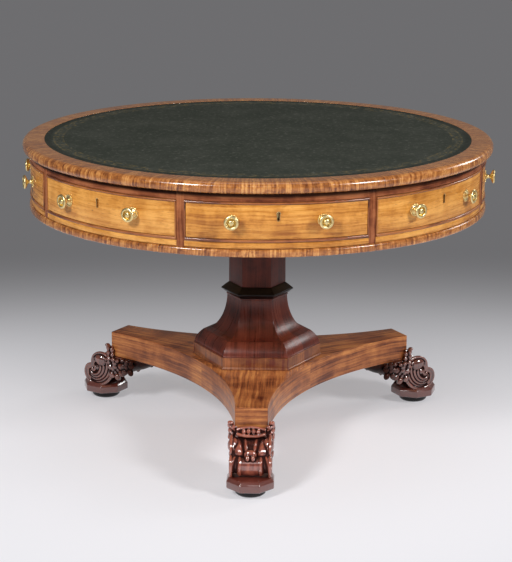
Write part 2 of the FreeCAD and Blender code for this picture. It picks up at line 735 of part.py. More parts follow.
def ironwork():
    """Tie rod and nut, pivot pin and bearing ring."""
    rod_low = dims.platform_bottom - dims.rod_tail
    rod_high = pin_low + dims.rod_engagement
    node("tie_rod", disc("tie_rod", dims.rod_radius, rod_low, rod_high))
    nut_low = dims.platform_bottom - dims.nut_height
    nut_sections = [(dims.nut_radius, nut_low), (dims.nut_radius, dims.platform_bottom)]
    nut = faceted("nut_blank", NUT_SIDES, nut_sections)
    node("tie_nut", cut("tie_nut", nut, disc("nut_bore", thread_bore, nut_low, dims.platform_bottom)))
    pin_top = frieze_low + dims.pivot_block_height - dims.pin_top_drop
    pin = disc("pin_blank", dims.pin_radius, pin_low, pin_top)
    node("pivot_pin", cut("pivot_pin", pin, disc("pin_bore", thread_bore, pin_low, rod_high)))
    node("bearing_ring", tube("bearing_ring", bearing_bore, dims.bearing_radius, shaft_top,
                              floor_low - dims.bearing_gap))


def platform(bore):
    """A triangle, with a leg's end in the middle of each side, whose corners are hollowed away."""
    triangle = doc.addObject("Part::Prism", "platform_triangle")
    triangle.Polygon = LEGS
    bind(triangle, Circumradius=dims.leg_reach * 2, Height=dims.platform_thickness)
    seat(triangle, z=dims.platform_bottom, turn=leg_turns[0] + LEG_ANGLE / 2)
    hollow = disc("platform_hollow", dims.side_radius, dims.platform_bottom, platform_top)
    seat(hollow, x=dims.waist_reach + dims.side_radius, z=dims.platform_bottom)
    hollows = ring_of("platform_hollows", hollow, [turn + LEG_ANGLE / 2 for turn in leg_turns])
    node("platform", cut("platform", cut("platform_legs", triangle, hollows), bore))


def scroll_foot():
    """A foot that points along +X: scroll, leaf bracket under the leg, and crest on the leg's end."""
    under = dims.platform_bottom
    start = dims.leg_reach - dims.bracket_length
    leaf = dims.leg_reach - dims.leaf_reach
    notch = leaf + dims.leaf_notch_width
    heel = foot_centre - dims.scroll_heel_reach
    toe = foot_centre + dims.scroll_toe_reach
    lobe_meeting = foot_centre + dims.scroll_notch_reach
    profile = sawn("scroll_profile", "XZ_Plane", [
        Corner(start, under, bulge=dims.leaf_bulge),
        Corner(leaf, under - dims.leaf_drop),
        Corner(notch, under - dims.leaf_notch_drop, bulge=dims.heel_bulge),
        Corner(heel, foot_top),
        Corner(toe, foot_top, bulge=dims.scroll_eye_bulge),
        Corner(lobe_meeting, foot_top + dims.scroll_notch_height, bulge=dims.scroll_hump_bulge),
        Corner(dims.leg_reach + dims.crest_projection, under + dims.scroll_rise),
        Corner(dims.leg_reach, under + dims.scroll_rise),
        Corner(dims.leg_reach, under),
    ], dims.wing_width, True)
    reach = lobe_meeting + dims.scroll_eye_bulge + dims.scroll_hump_bulge
    tip = dims.bracket_tip_width / 2
    wing = dims.wing_width / 2
    scroll = dims.scroll_width / 2
    plan = sawn("scroll_plan", "XY_Plane", [
        Corner(start, -tip),
        Corner(leaf, -wing),
        Corner(notch, -wing),
        Corner(dims.leg_reach, -scroll),
        Corner(reach, -scroll),
        Corner(reach, scroll),
        Corner(dims.leg_reach, scroll),
        Corner(notch, wing),
        Corner(leaf, wing),
        Corner(start, tip),
    ], dims.table_height, False)
    carved = common("scroll_carved", profile, plan)
    half = dims.crest_width / 2
    crest = board("scroll_crest", (dims.leg_reach, dims.leg_reach + dims.crest_projection), (-half, half),
                  (under, under + dims.crest_height))
    return fused("scroll_foot", [carved, crest])


def feet():
    """Three feet: turned pad, octagonal plinth and carved scroll."""
    foot = scroll_foot()
    for place, turn in enumerate(leg_turns, start=1):
        node(f"scroll_foot_{place}", copy_at(f"scroll_foot_{place}_copy", foot, turn))
    radius = dims.foot_plinth_radius
    block = group("foot_plinth", [faceted("foot_plinth", FOOT_PLINTH_SIDES, [
        (radius, dims.pad_height),
        (radius, foot_top - dims.foot_plinth_bevel),
        (radius - dims.foot_plinth_slope, foot_top),
    ], 180 / FOOT_PLINTH_SIDES)])
    seat(block, x=foot_centre)
    node("foot_plinths", ring_of("foot_plinths", block, leg_turns))
    edge = dims.pad_round
    pad = seat(turned("foot_pad", [
        Corner(0, 0),
        Corner(dims.pad_radius - edge, 0, edge),
        Corner(dims.pad_radius, edge),
        Corner(dims.pad_radius, dims.pad_height),
        Corner(0, dims.pad_height),
    ]), x=foot_centre)
    node("foot_pads", ring_of("foot_pads", pad, leg_turns))


def export():
    """Recompute, test every object and every sub-part, and write one file for each sub-part."""
    doc.recompute()
    failed = [item.Name for item in doc.Objects if {"Invalid", "Error"} & set(item.State)]
    if failed:
        raise RuntimeError("failed objects: " + ", ".join(failed))
    for item in nodes:
        if item.Shape.isNull() or not item.Shape.isValid() or not item.Shape.Solids:
            raise RuntimeError("bad shape: " + item.Label)
    os.makedirs("parts", exist_ok=True)
    for item in nodes:
        item.Shape.exportStep(os.path.join("parts", item.Label + ".step"))


screw_ring = screws()
top(screw_ring)
drum_frame(screw_ring)
drum_inside()
drawers()
bore = column_bore()
column(bore)
ironwork()
platform(bore)
feet()
export()
print(len(nodes), "sub-parts")
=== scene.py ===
"""Looks of a revolving drum table: crossbanded top with green leather, a frieze of bowed drawers with brass
knobs, a six-sided column, and a three-legged platform on carved scroll feet.

Metres, +Z up, origin on the column's axis at the floor. The front drawer faces -Y.
"""
import math

import bmesh
import bpy
import numpy as np
from bpy.props import FloatProperty, FloatVectorProperty, IntProperty, PointerProperty
from mathutils import Matrix, Vector


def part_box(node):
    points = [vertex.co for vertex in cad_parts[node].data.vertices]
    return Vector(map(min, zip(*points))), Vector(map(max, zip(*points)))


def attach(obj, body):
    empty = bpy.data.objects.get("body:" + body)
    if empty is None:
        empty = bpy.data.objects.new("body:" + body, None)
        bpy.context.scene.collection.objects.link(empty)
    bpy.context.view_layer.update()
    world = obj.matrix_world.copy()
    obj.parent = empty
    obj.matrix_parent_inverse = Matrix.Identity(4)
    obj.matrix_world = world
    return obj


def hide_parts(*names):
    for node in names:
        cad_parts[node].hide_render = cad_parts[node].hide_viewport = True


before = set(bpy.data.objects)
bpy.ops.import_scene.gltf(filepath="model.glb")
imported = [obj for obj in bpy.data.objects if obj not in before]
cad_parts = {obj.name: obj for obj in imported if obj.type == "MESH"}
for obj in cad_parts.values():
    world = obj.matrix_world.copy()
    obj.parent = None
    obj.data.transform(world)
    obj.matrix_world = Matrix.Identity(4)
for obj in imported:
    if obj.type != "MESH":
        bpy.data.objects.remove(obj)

bl_info = {
    "name": "Drum Table",
    "version": (1, 0, 0),
    "blender": (4, 5, 0),
    "location": "View3D > Sidebar > Drum Table",
    "description": "Dresses a revolving drum table with its veneers, leather, brass and carving",
    "category": "Object",
}

GRAIN = "grain"
COPY = "copy"
HOLLOW = "hollow"
MM = 0.001
BAYS = 8
BAY = math.tau / BAYS
FRONT = -math.pi / 2
DRAWERS = 4
LEGS = 3
LEG_ANGLE = math.tau / LEGS
COLUMN_SIDES = 6
FOOT_PLINTH_SIDES = 8
SHARP = math.radians(32)
# Painted shade under the rim: how far it fades in, and how much it darkens the colour
RIM_SHADE_FADE = 0.008
RIM_SHADE_SHARE = 0.85
# Painted sheen: how much paler the last bay's figured veneer is made, for the lamp light it catches
LAST_BAY_SHEEN = 0.16
VENEER_RELIEF = 0.00005
BANDING_BLOCK = 0.105
# Travel along the rim's outline where its top starts: faded figure, and painted shade for the stronger light
# there
RIM_TOP_FADE_AND_SHADE = 0.072
# Leather: middle of the border from the edge, waves of its vine, and each fillet's place and half width
BORDER = 0.0345
BORDER_WAVES = 96.0
FILLETS = ((0.0225, 0.0006), (0.0255, 0.0003), (0.0435, 0.0003), (0.0465, 0.0006))
# Steps round the axis, round a turned piece, or along one
TABLE_STEPS = 256
FRONT_STEPS = 48
RAIL_STEPS = 32
STILE_STEPS = 6
KNOB_STEPS = 40
PAD_STEPS = 64
LEATHER_RINGS = 24
PLATFORM_STEPS = 40
# Shifts of the grain from one side, leg, flank or end to the next
SIDE_SHIFT = 0.7
LEG_SHIFT = 0.9
FLANK_SHIFT = 3
END_SHIFT = 7.3
# Depth of a quirk by its height, and rounding of a bead's nose by its thickness
QUIRK_SHARE = 1.5
NOSE_SHARE = 0.48
FLARE_LIP = 0.004
OVOLO_LEDGE = 0.003
OVOLO_SWELL = 0.0052

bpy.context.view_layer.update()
rim_low, rim_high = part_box("top_rim")
leather_low, leather_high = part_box("leather_panel")
upper_low, upper_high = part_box("upper_rails")
lower_low, lower_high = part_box("lower_rails")
moulding_low, moulding_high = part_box("bottom_moulding")
bead_low, bead_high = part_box("drawer_1_cockbeads")
pad_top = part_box("foot_pads")[1].z
foot_plinth_low, foot_plinth_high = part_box("foot_plinths")
platform_low, platform_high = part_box("platform")


def linear(red, green, blue):
    """A colour as it looks on a screen, from 0 to 255, as light."""
    shares = (red / 255, green / 255, blue / 255)
    return tuple(share / 12.92 if share <= 0.04045 else ((share + 0.055) / 1.055) ** 2.4 for share in shares)


def length(label, meaning, default):
    return FloatProperty(name=label, description=meaning, default=default, min=0, unit="LENGTH", precision=5)


def amount(label, meaning, default):
    return FloatProperty(name=label, description=meaning, default=default)


def turn(label, meaning, degrees):
    return FloatProperty(name=label, description=meaning, default=math.radians(degrees), subtype="ANGLE")


def tone(label, meaning, red, green, blue):
    return FloatVectorProperty(name=label, description=meaning, default=linear(red, green, blue),
                               min=0, max=1, subtype="COLOR")


class DrumSizes(bpy.types.PropertyGroup):
    """Sizes of the top, the drum and its drawers."""

    top_edge: length("Top edge", "Rounding of the rim's upper corner", 0.0125)
    top_under_edge: length("Top under edge", "Rounding of the rim's lower corner", 0.0095)
    leather_sink: length("Leather sink", "Leather below the rim", 0.0004)
    frieze_depth: length("Frieze depth", "Depth of rails and stiles", 0.037)
    front_depth: length("Front depth", "Thickness of a drawer front", 0.021)
    moulding_edge: length("Moulding edge", "Rounding of the bottom moulding", 0.005)
    stile_width: length("Stile width", "Upright between two bays", 0.0185)
    arris: length("Arris", "Rounding of small edges", 0.0006)
    bead_edge: length("Bead edge", "Thickness of a cockbead", 0.0025)
    bead_foot: length("Foot bead", "Height of the cockbead under a front", 0.007)
    bead_head: length("Head bead", "Height of the cockbead over a front", 0.005)
    bead_line: length("Bead line", "Dark gap beside a cockbead", 0.0009)
    quirk: length("Quirk", "Groove over the bottom moulding", 0.002)
    # Painted shade: below the rim, the top of the upper rails and stiles is darkened for the rim's shadow
    rim_shade: length("Grime", "Height of the dirt under the rim", 0.015)
    drawer_gap: length("Drawer gap", "Clearance round a drawer front", 0.0007)
    mortise_room: length("Mortise room", "Clearance round a thrown lock bolt", 0.001)
    mortise_depth: length("Mortise depth", "Depth of the mortise over a lock bolt", 0.011)
    knob_angle: turn("Knob angle", "Knob from the middle of its bay", 10.4)
    knob_level: length("Knob level", "Floor to a knob", 0.676)
    keyhole_level: length("Keyhole level", "Floor to the round of a keyhole", 0.693)
    keyhole_radius: length("Keyhole radius", "Round of a keyhole", 0.0041)
    keyhole_slot: length("Keyhole slot", "Width of a keyhole's slot", 0.0056)
    keyhole_length: length("Keyhole length", "Slot below the round", 0.0165)
    escutcheon: length("Escutcheon", "Brass round a keyhole", 0.0007)


class BaseSizes(bpy.types.PropertyGroup):
    """Sizes of the column, the platform and the feet."""

    base_turn: turn("Base turn", "Turn of the base against the drum", -6.33)
    shaft_head: length("Shaft head", "Axis to a corner of the shaft's head", 0.071)
    shaft_foot: length("Shaft foot", "Axis to a corner of the shaft's foot", 0.0725)
    collar: length("Collar", "Axis to a corner of the collar", 0.092)
    flare_head: length("Flare head", "Axis to a corner of the flare's head", 0.0765)
    flare_foot: length("Flare foot", "Axis to a corner of the flare's foot", 0.137)
    plinth: length("Plinth", "Axis to a corner of the base plinth", 0.1635)
    plinth_bead: length("Plinth bead", "Bead round the base plinth", 0.003)
    leg_reach: length("Leg reach", "Axis to the end of a leg", 0.434)
    hollow: length("Hollow", "Radius of a hollow side", 0.745)
    waist: length("Waist", "Axis to a hollow side", 0.160)
    column_arris: length("Column arris", "Rounding of the column's corners", 0.0014)
    platform_arris: length("Platform arris", "Rounding of the platform's corners", 0.0016)
    foot_centre: length("Foot centre", "Axis to the middle of a foot", 0.483)
    foot_plinth: length("Foot plinth", "Middle of a foot plinth to a corner", 0.0605)
    foot_bevel: length("Foot bevel", "Height of the foot plinth's bevel", 0.008)
    foot_slope: length("Foot slope", "Width of the foot plinth's bevel", 0.006)
    pad: length("Pad", "Radius of a turned pad", 0.038)
    carving_grid: length("Carving grid", "Finest step of the carving", 0.0012)
    eggs: IntProperty(name="Eggs", description="Carved eggs on the end of a leg", default=4, min=1)


class Finishes(bpy.types.PropertyGroup):
    """Colours of the woods, leather and metals."""

    veneer_dark: tone("Veneer dark", "Darkest streak of the frieze's veneer", 138, 78, 28)
    veneer: tone("Veneer", "Frieze's veneer", 194, 130, 56)
    veneer_light: tone("Veneer light", "Lightest streak of the frieze's veneer", 226, 164, 84)
    banding_dark: tone("Banding dark", "Darkest streak of the crossbanding", 84, 36, 16)
    banding: tone("Banding", "Crossbanding", 166, 102, 48)
    banding_light: tone("Banding light", "Lightest streak of the crossbanding", 214, 154, 88)
    mahogany_dark: tone("Mahogany dark", "Darkest streak of stiles and beads", 76, 34, 20)
    mahogany: tone("Mahogany", "Stiles and beads", 126, 69, 41)
    mahogany_light: tone("Mahogany light", "Lightest streak of stiles and beads", 160, 98, 62)
    bead: tone("Bead", "Cockbeads", 136, 76, 38)
    column_dark: tone("Column dark", "Darkest streak of the column", 44, 15, 10)
    column: tone("Column", "Column", 94, 39, 26)
    column_light: tone("Column light", "Lightest streak of the column", 120, 58, 40)
    platform_dark: tone("Platform dark", "Darkest streak of the platform", 84, 38, 22)
    platform: tone("Platform", "Platform", 158, 94, 52)
    platform_light: tone("Platform light", "Lightest streak of the platform", 202, 136, 76)
    # Darkest carving tone, also laid in the hollows: old polish and painted shade
    carving_dark: tone("Carving dark", "Hollows of the carving", 26, 10, 9)
    carving: tone("Carving", "Carved feet", 86, 38, 29)
    carving_light: tone("Carving light", "Worn ridges of the carving", 132, 72, 54)
    pine: tone("Pine", "Carcase", 178, 138, 92)
    oak: tone("Oak", "Drawer linings", 168, 130, 86)
    leather: tone("Leather", "Leather of the top", 45, 49, 42)
    leather_worn: tone("Leather worn", "Rubbed leather", 88, 88, 81)
    gilding: tone("Gilding", "Tooled border of the leather", 132, 112, 66)
    ebony: tone("Ebony", "Collar and pads", 12, 9, 10)
    brass: tone("Brass", "Knobs and roses", 244, 222, 160)
    brass_dull: tone("Brass dull", "Tarnish in the brass", 170, 132, 72)
    iron: tone("Iron", "Tie rod, pin and screws", 74, 72, 72)


class StageSettings(bpy.types.PropertyGroup):
    """Camera, lights and floor."""

    eye: FloatVectorProperty(name="Eye", description="Camera's place", default=(-0.3805, -4.608, 1.614),
                             subtype="TRANSLATION", unit="LENGTH")
    heading: turn("Heading", "Camera's heading from +Y towards +X", 4.681)
    pitch: turn("Pitch", "Camera's tilt below the horizon", 14.84)
    roll: turn("Roll", "Camera's turn about its own line of sight", 0.2885)
    lens: amount("Lens", "Focal length on a 36 mm sensor, in millimetres", 120.06)
    floor_near: amount("Floor near", "Shown level of the floor by the table", 0.93)
    floor_far: amount("Floor far", "Shown level of the floor far behind it", 0.43)
    fade_centre: length("Fade centre", "Middle of the pale floor, in front of the axis", 0.9)
    fade_start: length("Fade start", "From the middle of the pale floor to where its fade starts", 0.85)
    fade_end: length("Fade end", "From the middle of the pale floor to where its fade ends", 2.85)
    fade_shift: length("Fade shift", "Middle of the pale floor, to the left of the axis", 0.5)
    fade_aside: amount("Fade aside", "Fade to the sides as a share of that to the back", 0.5)
    shadow_near: length("Shadow near", "Axis to where shadows on the floor start to fade", 0.35)
    shadow_far: length("Shadow far", "Axis to where shadows on the floor have gone", 1.3)


# Node trees


class Signal:
    """An output of a node that takes part in arithmetic."""

    def __init__(self, wiring, socket):
        self.wiring = wiring
        self.socket = socket

    def __add__(self, other):
        return self.wiring.maths("ADD", self, other)

    __radd__ = __add__

    def __sub__(self, other):
        return self.wiring.maths("SUBTRACT", self, other)

    def __rsub__(self, other):
        return self.wiring.maths("SUBTRACT", other, self)

    def __mul__(self, other):
        return self.wiring.maths("MULTIPLY", self, other)

    __rmul__ = __mul__

    def __truediv__(self, other):
        return self.wiring.maths("DIVIDE", self, other)

    def __pow__(self, other):
        return self.wiring.maths("POWER", self, other)


class Wiring:
    """A node tree under construction."""

    def __init__(self, tree):
        self.tree = tree

    def node(self, kind, settings=None, sockets=None):
        """Add a node, set it up, and give its sockets their values or links."""
        made = self.tree.nodes.new(kind)
        for name, value in (settings or {}).items():
            if name == "stops":
                self.set_stops(made.color_ramp, value)
            else:
                setattr(made, name, value)
        for name, value in (sockets or {}).items():
            if isinstance(value, Signal):
                self.tree.links.new(value.socket, made.inputs[name])
            else:
                made.inputs[name].default_value = value
        return made

    def signal(self, kind, settings=None, sockets=None, output=0):
        """Add a node and take one of its outputs."""
        return Signal(self, self.node(kind, settings, sockets).outputs[output])

    def maths(self, operation, first, second=0.0):
        return self.signal("ShaderNodeMath", {"operation": operation}, {0: first, 1: second})

    @staticmethod
    def set_stops(ramp, stops):
        while len(ramp.elements) < len(stops):
            ramp.elements.new(1.0)
        for element, (place, colour) in zip(ramp.elements, stops):
            element.position = place
            element.color = (*colour, 1.0)


class Finish(Wiring):
    """A procedural material under construction."""

    def __init__(self, name):
        self.material = bpy.data.materials.new(name)
        self.material.use_nodes = True
        super().__init__(self.material.node_tree)
        self.tree.nodes.clear()

    def place(self):
        """A point of the piece, along each axis."""
        apart = self.node("ShaderNodeSeparateXYZ", sockets={0: self.signal("ShaderNodeTexCoord", output=3)})
        return [Signal(self, output) for output in apart.outputs]

    def grain(self):
        """The way along the grain and across it, from the piece's own map, and the number of its copy."""
        spread = self.signal("ShaderNodeUVMap", {"uv_map": GRAIN})
        apart = self.node("ShaderNodeSeparateXYZ", sockets={0: spread})
        number = self.signal("ShaderNodeAttribute", {"attribute_name": COPY}, output=2)
        return Signal(self, apart.outputs[0]), Signal(self, apart.outputs[1]), number

    def vector(self, x, y, z=0.0):
        return self.signal("ShaderNodeCombineXYZ", sockets={0: x, 1: y, 2: z})

    def noise(self, place, detail=3.0, roughness=0.55, distortion=0.0):
        sockets = {"Vector": self.vector(*place), "Scale": 1.0, "Detail": detail, "Roughness": roughness,
                   "Distortion": distortion}
        return self.signal("ShaderNodeTexNoise", sockets=sockets)

    def cells(self, place):
        return self.signal("ShaderNodeTexVoronoi", sockets={"Vector": self.vector(*place), "Scale": 1.0})

    def chance(self, number):
        """A steady random value for a whole number."""
        return self.signal("ShaderNodeTexWhiteNoise", {"noise_dimensions": "1D"}, {"W": number})

    def smooth(self, value, low, high):
        """Rises from 0 to 1 as a value goes from low to high."""
        return self.signal("ShaderNodeMapRange", {"interpolation_type": "SMOOTHSTEP"},
                           {"Value": value, "From Min": low, "From Max": high})

    def band(self, value, middle, half, soft):
        """1 within a band, falling off at its two edges."""
        away = self.maths("ABSOLUTE", value - middle)
        return 1.0 - self.smooth(away, half, half + soft)

    def ramp(self, value, *stops):
        return self.signal("ShaderNodeValToRGB", {"stops": stops}, {0: value})

    def mixed(self, share, first, second):
        """One colour laid over another."""
        colours = {index: value if isinstance(value, Signal) else (*value, 1.0)
                   for index, value in ((6, first), (7, second))}
        return self.signal("ShaderNodeMix", {"data_type": "RGBA"}, {0: share, **colours}, output=2)

    def shaded(self, colour, factor):
        """A colour made lighter or darker by a factor."""
        grey = self.vector(factor, factor, factor)
        return self.signal("ShaderNodeVectorMath", {"operation": "MULTIPLY"}, {0: colour, 1: grey})

    def done(self, colour, roughness, height=None, depth=0.0, **constants):
        """Close the material with its shader."""
        sockets = {"Base Color": colour, "Roughness": roughness}
        if height is not None:
            bump = {"Strength": 1.0, "Distance": depth, "Height": height}
            sockets["Normal"] = self.signal("ShaderNodeBump", sockets=bump)
        sockets.update({name.replace("_", " ").title().replace("Ior", "IOR"): value
                        for name, value in constants.items()})
        shader = self.signal("ShaderNodeBsdfPrincipled", sockets=sockets)
        self.node("ShaderNodeOutputMaterial", sockets={"Surface": shader})
        return self.material


def tones(colours, wood):
    """The dark, middle and light tone of a wood."""
    return [getattr(colours, f"{wood}_dark"), getattr(colours, wood), getattr(colours, f"{wood}_light")]


def scaled(colour, factor):
    return [share * factor for share in colour]


def wood_figure(finish, along, across, number, streak, figure):
    """Streaks, fibres, pores and cross figure of a veneer, each from 0 to 1."""
    wander = (finish.noise((along * 3.5, across * 6.0, number * 3.1)) - 0.5) * 0.022
    bent = across + wander
    broad = finish.noise((along * 1.8, bent * streak, number * 7.7), 3.0)
    fibre = finish.noise((along * 7.0, bent * 160.0, number * 5.3), 5.0, 0.65)
    pores = finish.noise((along * 60.0, bent * 1400.0, number * 2.9), 2.0)
    cross = finish.noise((along * figure, bent * figure * 0.7, number * 9.1), 5.0, 0.62)
    return (finish.smooth(broad, 0.34, 0.66), finish.smooth(fibre, 0.36, 0.64),
            finish.smooth(pores, 0.58, 0.72), finish.smooth(cross, 0.36, 0.64))


def veneer(name, dark, middle, light, streak=26.0, figure=18.0, gloss=0.24, knots=0.0, coat=0.15, shine=0.5,
           calm=1.0, rim_shade=None):
    """A polished veneer that follows the piece's own grain.

    A calm one shows less contrast. On a knotty one the last bay's leaf is painted paler: painted sheen for
    the lamp light that it catches. Above a given level, in the corner under the rim, painted shade darkens it
    for the rim's shadow.
    """
    finish = Finish(name)
    along, across, number = finish.grain()
    broad, fibre, pores, cross = wood_figure(finish, along, across, number, streak, figure)
    leaf = finish.maths("SINE", number * 2.2 - 0.64) * 0.09
    shade = broad * 0.28 + fibre * 0.34 + cross * 0.38 + leaf
    # Painted sheen: the last bay's leaf is made paler, for the lamp light it catches
    if knots:
        shade = shade + finish.smooth(number, BAYS - 1.5, BAYS - 1.0) * LAST_BAY_SHEEN
    reach = 0.36 * calm
    colour = finish.ramp(shade, (max(0.0, 0.5 - reach), dark), (0.5, middle), (min(1.0, 0.5 + reach), light))
    colour = finish.mixed(pores * 0.3, colour, dark)
    if knots:
        spots = finish.cells((along * 13.0, across * 20.0, number * 4.7))
        near = 1.0 - finish.smooth(spots, 0.015, 0.06)
        patches = finish.noise((along * 4.0, across * 7.0, number * 6.1))
        rare = finish.smooth(patches, 0.46, 0.52)
        fleck = finish.noise((along * 60.0, across * 300.0, number * 8.3), 3.0)
        colour = finish.mixed(finish.smooth(fleck, 0.57, 0.7) * 0.65 * knots, colour, dark)
        colour = finish.mixed(near * rare * knots, colour, scaled(dark, 0.25))
    # Painted shade: above the given level, under the rim, the colour is darkened for the rim's shadow
    if rim_shade:
        level = finish.place()[2]
        colour = finish.shaded(colour, 1.0 - finish.smooth(level, rim_shade, rim_shade + RIM_SHADE_FADE) * RIM_SHADE_SHARE)
    roughness = gloss + fibre * 0.1 + pores * 0.1
    height = fibre * 0.3 - pores * 0.7
    return finish.done(colour, roughness, height, VENEER_RELIEF, coat_weight=coat, coat_roughness=0.08,
                       specular_ior_level=shine)


def crossband(name, dark, middle, light, fade=None):
    """Crossbanding: short blocks of veneer side by side, each with its own tone and slant of grain.

    Where the grain's travel goes past a given length, on top of a rim, the colour is evened out and darkened:
    daylight has evened out the figure, and painted shade offsets the stronger light on the top.
    """
    finish = Finish(name)
    along, across, number = finish.grain()
    place = across / BANDING_BLOCK
    index = finish.maths("FLOOR", place)
    inside = place - index
    tint = finish.chance(index + number * 31.0)
    slant = (finish.chance(index * 1.7 + 5.5) - 0.5) * 0.5
    leaning = across + along * slant
    broad, fibre, pores, cross = wood_figure(finish, along, leaning, index, 210.0, 90.0)
    dashes = finish.noise((along * 70.0, leaning * 330.0, index * 3.7), 3.0, 0.6)
    patches = finish.noise((along * 12.0, leaning * 22.0, index * 1.3), 2.0)
    patchy = finish.smooth(patches, 0.42, 0.6)
    shade = broad * 0.26 + fibre * 0.42 + cross * 0.32 + (tint - 0.5) * 0.2
    colour = finish.ramp(shade, (0.0, dark), (0.48, middle), (0.95, light))
    colour = finish.mixed(finish.smooth(dashes, 0.54, 0.68) * patchy * 0.7, colour, dark)
    colour = finish.mixed(pores * 0.35, colour, dark)
    joint = 1.0 - finish.smooth(finish.maths("MINIMUM", inside, 1.0 - inside), 0.0, 0.008)
    colour = finish.mixed(joint * 0.6, colour, scaled(dark, 0.4))
    # Top of the rim: figure evened out by fading, and colour darkened by painted shade for the stronger light
    # on it
    if fade:
        faded_and_shaded = finish.smooth(along, fade, fade + 0.006) * 0.42
        colour = finish.mixed(faded_and_shaded, colour, scaled(middle, 0.88))
    roughness = 0.16 + fibre * 0.1 + pores * 0.1
    height = fibre * 0.3 - pores * 0.7 - joint
    return finish.done(colour, roughness, height, VENEER_RELIEF, coat_weight=0.4, coat_roughness=0.05)


def carved_wood(name, dark, middle, light):
    """Polished carving: worn bright on its ridges, dark and dull in its hollows with old polish and painted
    shade.
    Painted shade darkens it under the leg, and painted light brightens the front foot.
    """
    finish = Finish(name)
    x, y, z = finish.place()
    hollow = finish.signal("ShaderNodeAttribute", {"attribute_name": HOLLOW}, output=2)
    deep = finish.smooth(hollow, 0.46, 0.7)
    streak = finish.noise((x * 90.0, y * 90.0, z * 14.0), 4.0)
    patch = finish.noise((x * 24.0, y * 24.0, z * 24.0), 3.0)
    colour = finish.ramp(streak * 0.6 + patch * 0.4, (0.3, dark), (0.5, middle), (0.7, light))
    # Hollows: dark old polish, deepened by painted shade in the recesses
    colour = finish.mixed(deep * 0.95, colour, dark)
    colour = finish.mixed((1.0 - finish.smooth(hollow, 0.1, 0.36)) * 0.5, colour, light)
    # Painted shade under the leg: towards the axis the carving is darkened, and loses its coat, where the leg
    # shades it
    beyond_leg_shade = finish.smooth(finish.maths("SQRT", x * x + y * y), 0.365, 0.435)
    # Painted light: the front foot is made lighter, for the light it catches
    wear_and_painted_light = 1.0 - finish.smooth(y, -0.42, -0.3)
    colour = finish.shaded(colour, (0.2 + 0.8 * beyond_leg_shade) * (1.0 + 0.8 * wear_and_painted_light))
    roughness = 0.25 + streak * 0.1 + deep * 0.5
    return finish.done(colour, roughness, streak, 0.0001, coat_weight=(1.0 - deep) * beyond_leg_shade,
                       coat_roughness=0.15, coat_ior=2.15, specular_ior_level=0.1)


def plain_wood(name, middle, way):
    """Unpolished carcase wood, with its grain along X, along Y, or out from the axis."""
    finish = Finish(name)
    x, y, z = finish.place()
    if way == "radial":
        along = finish.maths("SQRT", x * x + y * y)
        across = finish.maths("ARCTAN2", y, x) * 0.4
    else:
        along, across = (x, y) if way == "x" else (y, x)
    lines = finish.noise((along * 2.2, across * 60.0, z * 60.0), 4.0, 0.6)
    fibre = finish.noise((along * 12.0, across * 700.0, z * 700.0), 3.0)
    light = [min(1.0, share) for share in scaled(middle, 1.3)]
    colour = finish.ramp(lines * 0.7 + fibre * 0.3, (0.32, scaled(middle, 0.5)), (0.5, middle), (0.7, light))
    return finish.done(colour, 0.55 + fibre * 0.2, fibre, 0.0001, specular_ior_level=0.35)


def leather(name, base, worn, gilding, radius):
    """Old green leather: pebble grain, scuffed specks, a dark margin and a tooled border, its gilding worn.
    """
    finish = Finish(name)
    x, y = finish.place()[:2]
    reach = finish.maths("SQRT", x * x + y * y)
    way = finish.maths("ARCTAN2", y, x)
    inset = radius - reach
    pebble = finish.cells((x * 620.0, y * 620.0))
    mottle = finish.noise((x * 9.0, y * 9.0, 3.0), 6.0, 0.68)
    scuff = finish.noise((x * 90.0, y * 90.0, 9.0), 5.0, 0.75, 0.6)
    wear_and_painted_light = finish.smooth(mottle, 0.36, 0.72) * 0.2 + finish.smooth(scuff, 0.52, 0.7) * 0.8
    tooled = finish.band(inset, BORDER, 0.0105, 0.003)
    colour = finish.mixed(wear_and_painted_light + tooled * finish.smooth(scuff, 0.4, 0.6) * 0.15, base, worn)
    wave = finish.maths("SINE", way * BORDER_WAVES)
    vine = finish.band(inset, wave * 0.005 + BORDER, 0.0008, 0.0008)
    beads = finish.maths("SINE", way * (BORDER_WAVES * 2))
    drops = finish.band(inset, BORDER, 0.0018, 0.001) * finish.smooth(beads, 0.75, 0.95)
    lines = sum(finish.band(inset, middle, half, 0.0006) for middle, half in FILLETS)
    stamped = finish.maths("MINIMUM", lines + vine * 0.8 + drops, 1.0)
    kept = finish.smooth(finish.noise((x * 46.0, y * 46.0, 1.0), 4.0, 0.7), 0.44, 0.62)
    colour = finish.mixed(stamped * kept * 0.7, colour, gilding)
    colour = finish.shaded(colour, finish.smooth(inset, 0.012, 0.021) * 0.3 + 0.7)
    roughness = 0.6 - wear_and_painted_light * 0.1 + pebble * 0.08
    height = (1.0 - pebble) * 0.5 + mottle * 0.4 - stamped * 1.2
    return finish.done(colour, roughness, height, 0.00012, specular_ior_level=0.12)


def metal(name, bright, dull, roughness, wear):
    """Metal with tarnish in patches and fine rubbing marks."""
    finish = Finish(name)
    x, y, z = finish.place()
    patches = finish.noise((x * 160.0, y * 160.0, z * 160.0), 4.0, 0.65)
    marks = finish.noise((x * 900.0, y * 900.0, z * 260.0), 3.0)
    colour = finish.mixed(finish.smooth(patches, 0.45, 0.75) * wear, bright, dull)
    return finish.done(colour, roughness + patches * 0.12 + marks * 0.06, marks, 0.00002, metallic=1.0)


